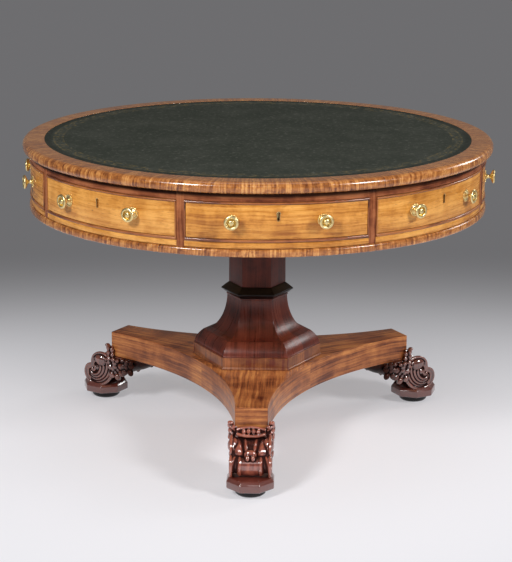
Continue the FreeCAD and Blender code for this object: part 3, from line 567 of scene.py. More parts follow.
def lacquered(name, base, lift, coat=0.0):
    """Thick polish over dark wood, a little uneven, with the wood paler in patches by a given lift."""
    finish = Finish(name)
    x, y, z = finish.place()
    uneven = finish.noise((x * 60.0, y * 60.0, z * 60.0), 4.0)
    colour = finish.mixed(uneven * 0.5, base, scaled(base, lift))
    return finish.done(colour, 0.24 + uneven * 0.2, uneven, 0.00008, coat_weight=coat, coat_roughness=0.08,
                       coat_ior=1.9, specular_ior_level=0.35)


# Meshes


def even(first, last, count):
    """Evenly spaced values, both ends included."""
    return [first + (last - first) * step / (count - 1) for step in range(count)]


def rounded(corners, steps=5):
    """An outline whose corners, given as across, up and rounding, are eased by arcs."""
    points = []
    for index, (x, y, radius) in enumerate(corners):
        here = Vector((x, y))
        before = Vector(corners[index - 1][:2]) - here
        after = Vector(corners[(index + 1) % len(corners)][:2]) - here
        if radius == 0:
            points.append(here)
            continue
        half = before.angle(after) / 2
        reach = radius / math.tan(half)
        middle = here + (before.normalized() + after.normalized()).normalized() * (radius / math.sin(half))
        first = here + before.normalized() * reach - middle
        last = here + after.normalized() * reach - middle
        swing = first.angle_signed(last)
        for step in range(steps + 1):
            spin = Matrix.Rotation(-swing * step / steps, 2)
            points.append(middle + spin @ first)
    return points


def spans(points):
    """How far each point of a closed outline lies along it, and its whole length at the end."""
    reach = [0.0]
    for here, following in zip(points, points[1:] + points[:1]):
        reach.append(reach[-1] + (following - here).length)
    return reach


def new_mesh():
    mesh = bmesh.new()
    mesh.loops.layers.uv.new(GRAIN)
    return mesh


def add_face(mesh, corners, spread):
    """A face with its place on the grain at each corner."""
    face = mesh.faces.new(corners)
    layer = mesh.loops.layers.uv[GRAIN]
    for loop, place in zip(face.loops, spread):
        loop[layer].uv = place


def round_axis(radius, angle, level):
    """A point round the upright axis."""
    return Vector((radius * math.cos(angle), radius * math.sin(angle), level))


def sweep(mesh, outline, start, end, steps, grain_round):
    """Carry an outline of radius and level round the axis, and close its ends unless it goes all the way."""
    whole = math.isclose(end - start, math.tau)
    stations = even(start, end, steps + 1)
    reach = max(point.x for point in outline)
    travel = spans(outline)
    rings = [[mesh.verts.new(round_axis(p.x, angle, p.y)) for p in outline]
             for angle in (stations[:-1] if whole else stations)]
    count = len(outline)
    for step in range(steps):
        near = rings[step]
        far = rings[(step + 1) % len(rings)]
        here, there = stations[step] * reach, stations[step + 1] * reach
        for index in range(count):
            following = (index + 1) % count
            spread = [(here, travel[index]), (there, travel[index]),
                      (there, travel[index + 1]), (here, travel[index + 1])]
            if not grain_round:
                spread = [(across, along) for along, across in spread]
            add_face(mesh, (near[index], far[index], far[following], near[following]), spread)
    if not whole:
        ends = [(p.x, p.y) for p in outline]
        add_face(mesh, list(reversed(rings[0])), list(reversed(ends)))
        add_face(mesh, rings[-1], ends)


def lathe(mesh, profile, steps, place):
    """Turn a profile of radius and height about an axis that a matrix sets; points on the axis close it."""
    rings = []
    for radius, height in profile:
        count = steps if radius > 0 else 1
        rings.append([mesh.verts.new(place @ round_axis(radius, math.tau * step / steps, height))
                      for step in range(count)])
    for low, high in zip(rings, rings[1:]):
        for step in range(steps):
            following = (step + 1) % steps
            corners = [low[step % len(low)], low[following % len(low)],
                       high[following % len(high)], high[step % len(high)]]
            add_face(mesh, list(dict.fromkeys(corners)), [(0.0, 0.0)] * 4)


def join_loops(mesh, near, far):
    """Faces between two closed loops of corners."""
    for index in range(len(near)):
        following = (index + 1) % len(near)
        mesh.faces.new((near[index], near[following], far[following], far[index]))


def prism(mesh, outline, low, high, place=Matrix()):
    """An upright block over an outline in plan, with its grain upright."""
    travel = spans(outline)
    bottom = [mesh.verts.new(place @ Vector((p.x, p.y, low))) for p in outline]
    top = [mesh.verts.new(place @ Vector((p.x, p.y, high))) for p in outline]
    for index in range(len(outline)):
        following = (index + 1) % len(outline)
        here, there = travel[index], travel[index + 1]
        add_face(mesh, (bottom[index], bottom[following], top[following], top[index]),
                 [(low, here), (low, there), (high, there), (high, here)])
    flat = [(p.x, p.y) for p in outline]
    add_face(mesh, list(reversed(bottom)), list(reversed(flat)))
    add_face(mesh, top, flat)


def facets(mesh, sides, sections, heading, centre=Vector()):
    """A many-sided column through sections of corner radius and level, its grain upright on each side."""
    travel = [0.0]
    for (radius, level), (next_radius, next_level) in zip(sections, sections[1:]):
        travel.append(travel[-1] + math.hypot(next_radius - radius, next_level - level))
    rings = [[mesh.verts.new(centre + round_axis(radius, heading + math.tau * side / sides, level))
              for side in range(sides)] for radius, level in sections]
    for index, (low, high) in enumerate(zip(rings, rings[1:])):
        for side in range(sides):
            following = (side + 1) % sides
            shift = side * SIDE_SHIFT
            halves = [sections[index + end][0] * math.sin(math.pi / sides) for end in (0, 1)]
            spread = [(travel[index], shift - halves[0]), (travel[index], shift + halves[0]),
                      (travel[index + 1], shift + halves[1]), (travel[index + 1], shift - halves[1])]
            add_face(mesh, (low[side], low[following], high[following], high[side]), spread)
    for corners in (list(reversed(rings[0])), rings[-1]):
        add_face(mesh, corners, [(vert.co.x, vert.co.y) for vert in corners])


def as_object(name, mesh, material):
    """A mesh under construction becomes an object of the scene."""
    bmesh.ops.recalc_face_normals(mesh, faces=mesh.faces)
    data = bpy.data.meshes.new(name)
    mesh.to_mesh(data)
    mesh.free()
    data.materials.append(material)
    piece = bpy.data.objects.new(name, data)
    bpy.context.scene.collection.objects.link(piece)
    return piece


def settle(piece):
    """Turn a piece's modifiers into plain mesh."""
    bpy.context.view_layer.update()
    graph = bpy.context.evaluated_depsgraph_get()
    plain = bpy.data.meshes.new_from_object(piece.evaluated_get(graph), preserve_all_data_layers=True,
                                            depsgraph=graph)
    rough = piece.data
    name = rough.name
    piece.modifiers.clear()
    piece.data = plain
    bpy.data.meshes.remove(rough)
    plain.name = name


def ease(piece, width, segments=3, limit=SHARP):
    """Round a piece's sharp edges."""
    bevel = piece.modifiers.new("ease", "BEVEL")
    bevel.width = width
    bevel.segments = segments
    bevel.limit_method = "ANGLE"
    bevel.angle_limit = limit
    settle(piece)


def seat(piece, body, slot, *nodes, crisp=True):
    """Shade a finished piece and let it ride on its body in place of its CAD nodes."""
    piece.data.polygons.foreach_set("use_smooth", [True] * len(piece.data.polygons))
    if crisp:
        piece.data.set_sharp_from_angle(angle=SHARP)
    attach(piece, body)
    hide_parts(*nodes)


def new_tree(name, result, *inputs):
    """A geometry node tree with named inputs: its wiring, and a signal from each input."""
    tree = bpy.data.node_groups.new(name, "GeometryNodeTree")
    for label, kind in inputs:
        tree.interface.new_socket(label, in_out="INPUT", socket_type=f"NodeSocket{kind}")
    tree.interface.new_socket(result, in_out="OUTPUT", socket_type="NodeSocketGeometry")
    wiring = Wiring(tree)
    given = wiring.node("NodeGroupInput")
    return wiring, [Signal(wiring, given.outputs[place]) for place in range(len(inputs))]


def close_tree(wiring, parts, material):
    """End a node tree in one real mesh with its finish."""
    real = wiring.signal("GeometryNodeRealizeInstances", sockets={0: parts})
    dressed = wiring.signal("GeometryNodeSetMaterial", sockets={"Geometry": real, "Material": material})
    wiring.node("NodeGroupOutput", sockets={0: dressed})
    return wiring.tree


def turned_copies():
    """Node tree: copies of a mesh set round the axis, numbered, and made one mesh."""
    wiring, (master, copies, start, step, first, stride, material) = new_tree(
        "turned copies", "Pieces", ("Master", "Geometry"), ("Copies", "Int"), ("Start", "Float"),
        ("Step", "Float"), ("First number", "Float"), ("Number step", "Float"), ("Material", "Material"))
    index = wiring.signal("GeometryNodeInputIndex")
    angle = wiring.signal("ShaderNodeMath", {"operation": "MULTIPLY_ADD"}, {0: index, 1: step, 2: start})
    spin = wiring.signal("ShaderNodeCombineXYZ", sockets={2: angle})
    points = wiring.signal("GeometryNodePoints", sockets={"Count": copies})
    placed = wiring.signal("GeometryNodeInstanceOnPoints",
                           sockets={"Points": points, "Instance": master, "Rotation": spin})
    numbered = wiring.signal("GeometryNodeStoreNamedAttribute", {"data_type": "FLOAT", "domain": "INSTANCE"},
                             {"Geometry": placed, "Name": COPY, "Value": index * stride + first})
    return close_tree(wiring, numbered, material)


def bead_ring():
    """Node tree: beads set round a circle, joined to the mesh that they trim."""
    wiring, (plate, beads, ring_radius, bead_radius, height, material) = new_tree(
        "bead ring", "Trimmed", ("Plate", "Geometry"), ("Beads", "Int"), ("Ring radius", "Float"),
        ("Bead radius", "Float"), ("Height", "Float"), ("Material", "Material"))
    ring = wiring.signal("GeometryNodeMeshCircle", {"fill_type": "NONE"},
                         {"Vertices": beads, "Radius": ring_radius})
    lift = wiring.signal("ShaderNodeCombineXYZ", sockets={2: height})
    lifted = wiring.signal("GeometryNodeTransform", sockets={"Geometry": ring, "Translation": lift})
    bead = wiring.signal("GeometryNodeMeshIcoSphere", sockets={"Radius": bead_radius, "Subdivisions": 2})
    placed = wiring.signal("GeometryNodeInstanceOnPoints", sockets={"Points": lifted, "Instance": bead})
    joined = wiring.node("GeometryNodeJoinGeometry")
    for part in (plate, placed):
        wiring.tree.links.new(part.socket, joined.inputs[0])
    return close_tree(wiring, Signal(wiring, joined.outputs[0]), material)


def grow(piece, tree, **inputs):
    """Run a node tree on a piece with its inputs set, and keep the result as plain mesh."""
    modifier = piece.modifiers.new(tree.name, "NODES")
    modifier.node_group = tree
    sockets = {item.name: item.identifier for item in tree.interface.items_tree if item.in_out == "INPUT"}
    for name, value in inputs.items():
        modifier[sockets[name.replace("_", " ").capitalize()]] = value
    settle(piece)
    return piece


def tree_named(name, make):
    return bpy.data.node_groups.get(name) or make()


def copied_round(piece, material, copies, start, step, first=0.0, stride=1.0):
    """Set copies of a piece round the axis."""
    tree = tree_named("turned copies", turned_copies)
    return grow(piece, tree, copies=copies, start=start, step=step, first_number=first, number_step=stride,
                material=material)


def twin(piece, name):
    """A second object with its own copy of a mesh."""
    other = bpy.data.objects.new(name, piece.data.copy())
    other.data.name = name
    bpy.context.scene.collection.objects.link(other)
    return other


def drop(piece):
    """Remove a master that its copies have replaced."""
    data = piece.data
    bpy.data.objects.remove(piece)
    bpy.data.meshes.remove(data)


def cut_away(piece, cutter):
    """Take a cutter's shape out of a piece, and drop the cutter."""
    bore = piece.modifiers.new("cut", "BOOLEAN")
    bore.operation = "DIFFERENCE"
    bore.object = cutter
    bore.solver = "EXACT"
    settle(piece)
    drop(cutter)


# Top and drum


def make_top(drum, colours):
    polish = crossband("rim_polish", *tones(colours, "banding"), fade=RIM_TOP_FADE_AND_SHADE)
    inner = leather_high.x
    mesh = new_mesh()
    sweep(mesh, rounded([(inner, rim_low.z, 0), (rim_high.x, rim_low.z, drum.top_under_edge),
                         (rim_high.x, rim_high.z, drum.top_edge), (inner, rim_high.z, drum.arris)], 8),
          0, math.tau, TABLE_STEPS, False)
    seat(as_object("crossbanded_rim", mesh, polish), "drum", "crossbanding", "top_rim")
    hide = leather("green_leather", colours.leather, colours.leather_worn, colours.gilding, inner)
    mesh = new_mesh()
    level = leather_high.z - drum.leather_sink
    rings = [(inner * ring / LEATHER_RINGS, level) for ring in range(LEATHER_RINGS, -1, -1)]
    lathe(mesh, [(0, leather_low.z), (inner, leather_low.z), *rings], TABLE_STEPS, Matrix())
    seat(as_object("writing_leather", mesh, hide), "drum", "leather", "leather_panel")


def bay_half(drum, clearance=0.0):
    """Half the angle of a bay between its stiles."""
    return BAY / 2 - math.asin((drum.stile_width / 2 + clearance) / lower_high.x)


def bolt_mortises(drum, material):
    """Blocks in place of the mortises that the four lock bolts are thrown into."""
    low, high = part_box("drawer_1_lock_bolt")
    room = drum.mortise_room
    outline = [Vector((x, y)) for x, y in ((low.x - room, low.y - room), (high.x + room, low.y - room),
                                           (high.x + room, high.y + room), (low.x - room, high.y + room))]
    mesh = new_mesh()
    prism(mesh, outline, upper_low.z - room, upper_low.z + drum.mortise_depth)
    return copied_round(as_object("mortise_blocks", mesh, material), material, DRAWERS, 0.0, BAY * 2)


def rail_outline(back, low, high, groove, arris):
    """A rail's section, with a groove under its face where it has one."""
    face = lower_high.x
    foot = [(face, low, arris)]
    if groove:
        inner = face - groove * QUIRK_SHARE
        foot = [(inner, low, 0), (inner, low + groove, 0), (face, low + groove, arris)]
    return rounded([(back, low, 0), *foot, (face, high, arris), (back, high, 0)], 2)


def make_drum(drum, colours):
    banding = crossband("banding_polish", *tones(colours, "banding"))
    figured = veneer("figured_veneer", *tones(colours, "veneer"), streak=40.0, figure=22.0, knots=0.8,
                     coat=0.05, shine=0.35, calm=1.6)
    # Level above which the stiles and upper rails get painted shade for the rim's shadow
    rim_shade = upper_high.z - drum.rim_shade
    mahogany = tones(colours, "mahogany")
    dark = veneer("stile_polish", *mahogany, streak=60.0, coat=0.0, shine=0.15, rim_shade=rim_shade)
    shaded = veneer("upper_rail_polish", *mahogany, streak=60.0, coat=0.0, shine=0.1, rim_shade=rim_shade)
    face = lower_high.x
    back = face - drum.frieze_depth
    edge = drum.moulding_edge
    mesh = new_mesh()
    sweep(mesh, rounded([(back, moulding_low.z, 0), (moulding_high.x, moulding_low.z, edge),
                         (moulding_high.x, moulding_high.z, edge), (back, moulding_high.z, 0)]),
          0, math.tau, TABLE_STEPS, False)
    seat(as_object("foot_banding", mesh, banding), "drum", "crossbanding", "bottom_moulding")
    half = bay_half(drum)
    rails = (("upper_rail_veneer", "upper_rails", upper_low.z, upper_high.z, 0.0, shaded, 0.5),
             ("lower_rail_veneer", "lower_rails", lower_low.z, lower_high.z, drum.quirk, figured, 0.0))
    for name, node, low, high, groove, polish, first in rails:
        mesh = new_mesh()
        outline = rail_outline(back, low, high, groove, drum.arris)
        sweep(mesh, outline, FRONT - half, FRONT + half, RAIL_STEPS, True)
        rail = as_object(name, mesh, polish)
        copied_round(rail, polish, BAYS, 0.0, BAY, first=first)
        if node == "upper_rails":
            cut_away(rail, bolt_mortises(drum, polish))
        seat(rail, "drum", "frieze_veneer", node)
    mesh = new_mesh()
    half = math.asin(drum.stile_width / 2 / face)
    sweep(mesh, rounded([(back, lower_low.z, 0), (face, lower_low.z, 0), (face, upper_high.z, 0),
                         (back, upper_high.z, 0)]), FRONT - half, FRONT + half, STILE_STEPS, False)
    stile = as_object("stile_veneer", mesh, dark)
    ease(stile, drum.arris, 2)
    copied_round(stile, dark, BAYS, BAY / 2, BAY)
    seat(stile, "drum", "dark_mahogany", "stiles")


def on_frieze(x, z, depth):
    """A point of the front bay: so far to the side, so high, and so far beyond the frieze."""
    face = lower_high.x
    return Vector(((face + depth) * math.sin(x / face), -(face + depth) * math.cos(x / face), z))


def keyhole_outline(drum, border):
    """A keyhole's outline in x and level, widened by a border."""
    radius = drum.keyhole_radius + border
    half = drum.keyhole_slot / 2 + border
    foot = drum.keyhole_level - drum.keyhole_length - border
    spread = math.acos(half / radius) if half < radius else 0.0
    arc = [(radius * math.cos(angle), drum.keyhole_level + radius * math.sin(angle))
           for angle in even(math.pi + spread, -spread, 13)]
    return [(-half, foot), *arc, (half, foot)]


def drawer_front(name, drum, half, low, high, material):
    """A bowed front with its keyhole cut through."""
    face = lower_high.x
    back = face - drum.front_depth
    mesh = new_mesh()
    edge = drum.arris / 2
    sweep(mesh, rounded([(back, low, 0), (face, low, edge), (face, high, edge), (back, high, 0)], 2),
          FRONT - half, FRONT + half, FRONT_STEPS, True)
    front = as_object(name, mesh, material)
    cutter = new_mesh()
    outline = keyhole_outline(drum, 0)
    inner = [cutter.verts.new((x, -(back - edge), z)) for x, z in outline]
    outer = [cutter.verts.new((x, -(face + drum.bead_edge), z)) for x, z in outline]
    join_loops(cutter, inner, outer)
    cutter.faces.new(list(reversed(inner)))
    cutter.faces.new(outer)
    cut_away(front, as_object("keyhole", cutter, material))
    return front


def fit_drawers(master, label, material, slot, node):
    """Give each of the four drawers its own copy of a master."""
    for place in range(DRAWERS):
        drawer = f"drawer_{place + 1}"
        piece = twin(master, f"{drawer}_{label}")
        copied_round(piece, material, 1, place * BAY * 2, 0.0, first=place * 2)
        seat(piece, drawer, slot, f"{drawer}_{node}")


def fit_dummies(piece, material, slot, node):
    """Set copies of a piece on the four dummy bays."""
    copied_round(piece, material, DRAWERS, BAY, BAY * 2, first=1.0, stride=2.0)
    seat(piece, "drum", slot, node)


def make_fronts(drum):
    figured = bpy.data.materials["figured_veneer"]
    bead_angle = (drum.bead_edge + drum.bead_line) / lower_high.x
    real = drawer_front("front_master", drum, bay_half(drum, drum.drawer_gap) - bead_angle,
                        bead_low.z + drum.bead_foot + drum.bead_line,
                        bead_high.z - drum.bead_head - drum.bead_line, figured)
    fit_drawers(real, "bowed_front", figured, "frieze_veneer", "front")
    drop(real)
    dummy = drawer_front("dummy_bowed_fronts", drum, bay_half(drum, drum.bead_line) - bead_angle,
                         lower_high.z + drum.bead_foot + drum.bead_line,
                         upper_low.z - drum.bead_line - drum.bead_head - drum.bead_line, figured)
    fit_dummies(dummy, figured, "frieze_veneer", "dummy_fronts")


def bead_set(name, drum, half, low, high, material):
    """Cockbeads round one front, with round noses."""
    face = lower_high.x
    back = face - drum.front_depth
    nose = -bead_low.y
    mesh = new_mesh()
    foot_top = low + drum.bead_foot
    head_low = high - drum.bead_head
    for level, top, edge in ((low, foot_top, drum.bead_edge), (head_low, high, drum.bead_head * NOSE_SHARE)):
        sweep(mesh, rounded([(back, level, 0), (nose, level, edge), (nose, top, edge), (back, top, 0)], 6),
              FRONT - half, FRONT + half, FRONT_STEPS, True)
    width = drum.bead_edge
    edge = width * NOSE_SHARE
    for side in (-1, 1):
        heading = FRONT + side * (half - width / 2 / face)
        outline = rounded([(back, -width / 2, 0), (nose, -width / 2, edge), (nose, width / 2, edge),
                           (back, width / 2, 0)], 6)
        prism(mesh, outline, foot_top, head_low, Matrix.Rotation(heading, 4, "Z"))
    return as_object(name, mesh, material)


def make_cockbeads(drum, colours):
    dark = veneer("bead_polish", colours.mahogany_dark, colours.bead, colours.banding, streak=60.0, coat=0.5)
    real = bead_set("bead_master", drum, bay_half(drum, drum.drawer_gap), bead_low.z, bead_high.z, dark)
    fit_drawers(real, "bead_moulding", dark, "dark_mahogany", "cockbeads")
    drop(real)
    dummy = bead_set("dummy_bead_mouldings", drum, bay_half(drum, drum.bead_line), lower_high.z,
                     upper_low.z - drum.bead_line, dark)
    fit_dummies(dummy, dark, "dark_mahogany", "dummy_cockbeads")


KNOB_PROFILE = (
    # Radius and height over the frieze, in millimetres, from the foot to the middle of the front
    (0, -1), (5.0, -1), (7.6, 2.2), (7.6, 3.0), (6.2, 3.6), (5.6, 4.4), (6.4, 5.0), (6.4, 5.6), (5.2, 6.2),
    (4.5, 8.0), (4.4, 11.0), (4.8, 12.4), (6.4, 13.8), (9.4, 15.2), (12.8, 16.9), (15.6, 18.4), (16.5, 19.6),
    (17.0, 20.7), (16.9, 21.8), (16.4, 22.9), (15.4, 23.8), (14.2, 24.3), (12.8, 24.5), (11.6, 24.3),
    (10.8, 23.6), (10.4, 22.0), (10.0, 18.0), (9.4, 16.6), (8.4, 16.2), (7.6, 16.8), (7.2, 19.0),
    (6.9, 21.6), (6.3, 23.2), (5.4, 24.2), (4.2, 24.8), (2.6, 25.2), (1.2, 25.3), (0, 25.3),
)
ROSE_PROFILE = (
    # Radius and height over the frieze, in millimetres
    (0, 0.1), (13.2, 0.1), (13.8, 0.5), (13.8, 1.0), (13.0, 1.7), (12.0, 2.0), (11.2, 1.8), (10.4, 1.5),
    (9.6, 1.7), (9.0, 2.3), (8.2, 2.6), (7.0, 2.6), (0, 2.6),
)


def brass_knob(drum, material):
    """A dished knob and its rose with a beaded edge, facing the front, on both sides of the keyhole."""
    mesh = new_mesh()
    for profile in (KNOB_PROFILE, ROSE_PROFILE):
        lathe(mesh, [(radius * MM, height * MM) for radius, height in profile], KNOB_STEPS, Matrix())
    knob = as_object("knob_master", mesh, material)
    grow(knob, tree_named("bead ring", bead_ring), beads=22, ring_radius=0.0132, bead_radius=0.0018,
         height=0.001, material=material)
    out = Matrix.Translation((0, -lower_high.x, drum.knob_level)) @ Matrix.Rotation(math.pi / 2, 4, "X")
    knob.data.transform(out)
    return copied_round(knob, material, 2, -drum.knob_angle, drum.knob_angle * 2)


def escutcheon(drum, material):
    """A thin brass border round the keyhole, bowed with the front."""
    mesh = new_mesh()
    inner = keyhole_outline(drum, 0)
    outer = keyhole_outline(drum, drum.escutcheon)
    loops = [[mesh.verts.new(on_frieze(x, z, depth * MM)) for x, z in outline]
             for outline, depth in ((inner, -1.0), (inner, 0.5), (outer, 0.7), (outer, -1.0))]
    for near, far in zip(loops, loops[1:] + loops[:1]):
        join_loops(mesh, near, far)
    return as_object("escutcheon_master", mesh, material)


def make_brassware(drum, colours):
    brass = metal("polished_brass", colours.brass, colours.brass_dull, roughness=0.22, wear=0.5)
    mesh = new_mesh()
    for part in (brass_knob(drum, brass), escutcheon(drum, brass)):
        mesh.from_mesh(part.data)
        drop(part)
    master = as_object("dummy_knobs", mesh, brass)
    fit_drawers(master, "knobs", brass, "brass", "brassware")
    fit_dummies(master, brass, "brass", "dummy_brassware")


def paint(material, *nodes):
    """Give CAD nodes that stay in view their finish."""
    for node in nodes:
        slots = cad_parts[node].data.materials
        slots.clear()
        slots.append(material)


def make_carcase(colours):
    pine = plain_wood("bare_pine", colours.pine, "radial")
    paint(pine, "top_board", "drum_floor", "partitions", "drawer_runners", "drawer_kickers", "core_walls",
          "pivot_block")
    linings = {way: plain_wood(f"lining_oak_{way}", colours.oak, way) for way in ("x", "y")}
    brass = metal("lock_brass", colours.brass, colours.brass_dull, roughness=0.3, wear=0.9)
    for place in range(1, DRAWERS + 1):
        way = "y" if place % 2 else "x"
        paint(linings[way], f"drawer_{place}_box", f"drawer_{place}_bottom")
        paint(brass, f"drawer_{place}_lock_case", f"drawer_{place}_lock_bolt")
    paint(brass, "bearing_ring")
    iron = metal("dark_iron", colours.iron, scaled(colours.iron, 0.4), roughness=0.42, wear=0.8)
    paint(iron, "tie_rod", "tie_nut", "pivot_pin", "top_screws")


# Base


def leg_heading(base, leg):
    return FRONT + base.base_turn + LEG_ANGLE * leg


def levels(node):
    """The lowest and the highest level of a CAD node."""
    low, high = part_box(node)
    return low.z, high.z


def column_sections(base):
    """Corner radius and level up each part of the column, by the CAD node that it stands for."""
    sections = {}
    low, high = levels("column_flare")
    head = base.flare_head
    flare = [(base.flare_foot - (base.flare_foot - head) * math.sin(angle),
              high - (high - low) * math.cos(angle)) for angle in even(0, math.pi / 2, 25)]
    lip = head + FLARE_LIP / 2
    flare[-1:] = [(head, high - FLARE_LIP), (lip, high - FLARE_LIP), (lip, high)]
    sections["column_flare"] = flare
    low, high = levels("base_moulding")
    ovolo = [(base.plinth - 0.001, low), (base.plinth - 0.001, low + 0.002)]
    for share in even(0, 1, 17):
        straight = base.plinth - OVOLO_LEDGE + (base.flare_foot - base.plinth + OVOLO_LEDGE) * share
        ovolo.append((straight + OVOLO_SWELL * 4 * share * (1 - share),
                      low + OVOLO_LEDGE + (high - low - OVOLO_LEDGE) * share))
    sections["base_moulding"] = ovolo
    low, high = levels("base_plinth")
    bead = base.plinth_bead
    sections["base_plinth"] = [(base.plinth + bead, low), (base.plinth + bead, low + bead),
                               (base.plinth, low + bead * 2), (base.plinth, high)]
    low, high = levels("column_collar")
    rise = high - low
    sections["column_collar"] = [(head, low), (head + 0.006, low + rise * 0.1),
                                 (base.collar - 0.004, low + rise * 0.3), (base.collar, low + rise * 0.36),
                                 (base.collar, low + rise * 0.48), (base.collar - 0.003, low + rise * 0.55),
                                 (base.shaft_foot + 0.008, low + rise * 0.8), (base.shaft_foot, high)]
    low, high = levels("column_shaft")
    sections["column_shaft"] = [(base.shaft_foot, low), (base.shaft_head, high)]
    return sections


def make_column(base, colours):
    grain = veneer("column_polish", *tones(colours, "column"), streak=44.0, figure=16.0, gloss=0.27,
                   coat=0.06, shine=0.4, calm=1.4)
    # Painted shade: the shaft's colours are darkened for the shadow that the drum casts on it
    deep = veneer("shaft_polish", colours.column_dark, scaled(colours.column, 0.8), colours.column,
                  streak=44.0, figure=16.0, gloss=0.3, coat=0.0, shine=0.2, calm=1.4)
    pale = veneer("plinth_polish", colours.column, scaled(colours.platform, 0.55), colours.platform,
                  streak=34.0, figure=22.0, gloss=0.28)
    black = lacquered("ebony_polish", colours.ebony, 2.2)
    corner = leg_heading(base, 0) + math.pi / COLUMN_SIDES
    sections = column_sections(base)
    for name, material, slot, node in (("shaft_veneer", deep, "column_mahogany", "column_shaft"),
                                       ("black_collar", black, "ebonised_wood", "column_collar"),
                                       ("flare_veneer", grain, "column_mahogany", "column_flare"),
                                       ("ovolo_veneer", grain, "column_mahogany", "base_moulding"),
                                       ("plinth_veneer", pale, "column_mahogany", "base_plinth")):
        mesh = new_mesh()
        facets(mesh, COLUMN_SIDES, sections[node], corner)
        piece = as_object(name, mesh, material)
        ease(piece, base.column_arris)
        seat(piece, "base", slot, node)


def leg_half(base, reach):
    """Half a leg's width at a distance from the axis."""
    away = base.waist + base.hollow
    along = reach - away * math.cos(LEG_ANGLE / 2)
    return away * math.sin(LEG_ANGLE / 2) - math.sqrt(base.hollow ** 2 - along ** 2)


def make_platform(base, colours):
    polish = veneer("platform_polish", *tones(colours, "platform"), streak=120.0, figure=9.0, gloss=0.3,
                    knots=0.5, coat=0.05, shine=0.35, calm=1.15)
    mesh = new_mesh()
    low, high = platform_low.z, platform_high.z
    last = PLATFORM_STEPS
    rows = even(base.waist * math.cos(LEG_ANGLE / 2), base.leg_reach, last + 1)
    for leg in range(LEGS):
        spin = Matrix.Rotation(leg_heading(base, leg), 4, "Z")
        shift = leg * LEG_SHIFT
        edges = [[(reach, side * leg_half(base, reach)) for reach in rows] for side in (-1, 1)]
        grid = {(level, side, row): mesh.verts.new(spin @ Vector((*edges[side][row], level)))
                for level in (low, high) for side in (0, 1) for row in range(last + 1)}
        middle = {level: mesh.verts.new((0, 0, level)) for level in (low, high)}
        for level, near, far in ((low, 1, 0), (high, 0, 1)):
            heart = [(0.0, shift), (rows[0], edges[near][0][1] + shift), (rows[0], edges[far][0][1] + shift)]
            add_face(mesh, (middle[level], grid[level, near, 0], grid[level, far, 0]), heart)
            for row in range(last):
                corners = [(near, row), (near, row + 1), (far, row + 1), (far, row)]
                add_face(mesh, [grid[level, side, at] for side, at in corners],
                         [(rows[at], edges[side][at][1] + shift) for side, at in corners])
        for side in (0, 1):
            for row in range(last):
                corners = [(low, row), (low, row + 1), (high, row + 1), (high, row)]
                add_face(mesh, [grid[level, side, at] for level, at in corners],
                         [(rows[at], level + shift + FLANK_SHIFT * side) for level, at in corners])
        end = [(low, 0), (low, 1), (high, 1), (high, 0)]
        add_face(mesh, [grid[level, side, last] for level, side in end],
                 [(edges[side][last][1] + END_SHIFT, level + shift) for level, side in end])
    bmesh.ops.remove_doubles(mesh, verts=mesh.verts, dist=1e-6)
    platform = as_object("platform_veneer", mesh, polish)
    ease(platform, base.platform_arris, limit=math.radians(50))
    seat(platform, "base", "column_mahogany", "platform")


def make_foot_blocks(base, colours):
    polish = lacquered("foot_plinth_polish", colours.carving, 2.0, coat=1.0)
    centre = Vector((base.foot_centre, 0, 0))
    start = leg_heading(base, 0)
    mesh = new_mesh()
    radius = base.foot_plinth
    low, high = foot_plinth_low.z, foot_plinth_high.z
    facets(mesh, FOOT_PLINTH_SIDES,
           [(radius - 0.002, low), (radius, low + 0.002), (radius, high - base.foot_bevel),
            (radius - base.foot_slope, high)], math.pi / FOOT_PLINTH_SIDES, centre)
    plinth = as_object("foot_plinth_blocks", mesh, polish)
    ease(plinth, 0.0012)
    copied_round(plinth, polish, LEGS, start, LEG_ANGLE)
    seat(plinth, "base", "carved_mahogany", "foot_plinths")
    black = bpy.data.materials["ebony_polish"]
    mesh = new_mesh()
    radius = base.pad
    profile = [(0, 0), (radius - 0.010, 0), (radius - 0.005, 0.0015), (radius - 0.0015, 0.005),
               (radius, 0.010), (radius, pad_top - 0.006), (radius - 0.002, pad_top - 0.004),
               (radius - 0.001, pad_top), (0, pad_top)]
    lathe(mesh, profile, PAD_STEPS, Matrix.Translation(centre))
    pad = as_object("turned_pads", mesh, black)
    copied_round(pad, black, LEGS, start, LEG_ANGLE)
    seat(pad, "base", "ebonised_wood", "foot_pads")


# Carving of a foot, in millimetres: X away from the axis, Y to the side, Z up


def lump(mesh, centre, radii, tilt=0.0):
    """An egg-shaped lump, tilted in the plane of the leg."""
    place = Matrix.Translation(centre) @ Matrix.Rotation(tilt, 4, "Y") @ Matrix.Diagonal((*radii, 1))
    bmesh.ops.create_icosphere(mesh, subdivisions=3, radius=1.0, matrix=place)


def rib(mesh, points, radii, sides=10):
    """A closed round rib along points, as thick at each as its radius says."""
    rings = []
    last = len(points) - 1
    for index, (point, radius) in enumerate(zip(points, radii)):
        ahead = (points[min(index + 1, last)] - points[max(index - 1, 0)]).normalized()
        aside = ahead.orthogonal().normalized()
        above = ahead.cross(aside)
        rings.append([mesh.verts.new(point + (aside * math.cos(math.tau * side / sides)
                                              + above * math.sin(math.tau * side / sides)) * radius)
                      for side in range(sides)])
    for low, high in zip(rings, rings[1:]):
        offset = min(range(sides), key=lambda shift: (high[shift].co - low[0].co).length)
        for side in range(sides):
            following = (side + 1) % sides
            mesh.faces.new((low[side], low[following], high[(following + offset) % sides],
                            high[(side + offset) % sides]))
    mesh.faces.new(rings[0])
    mesh.faces.new(rings[-1])


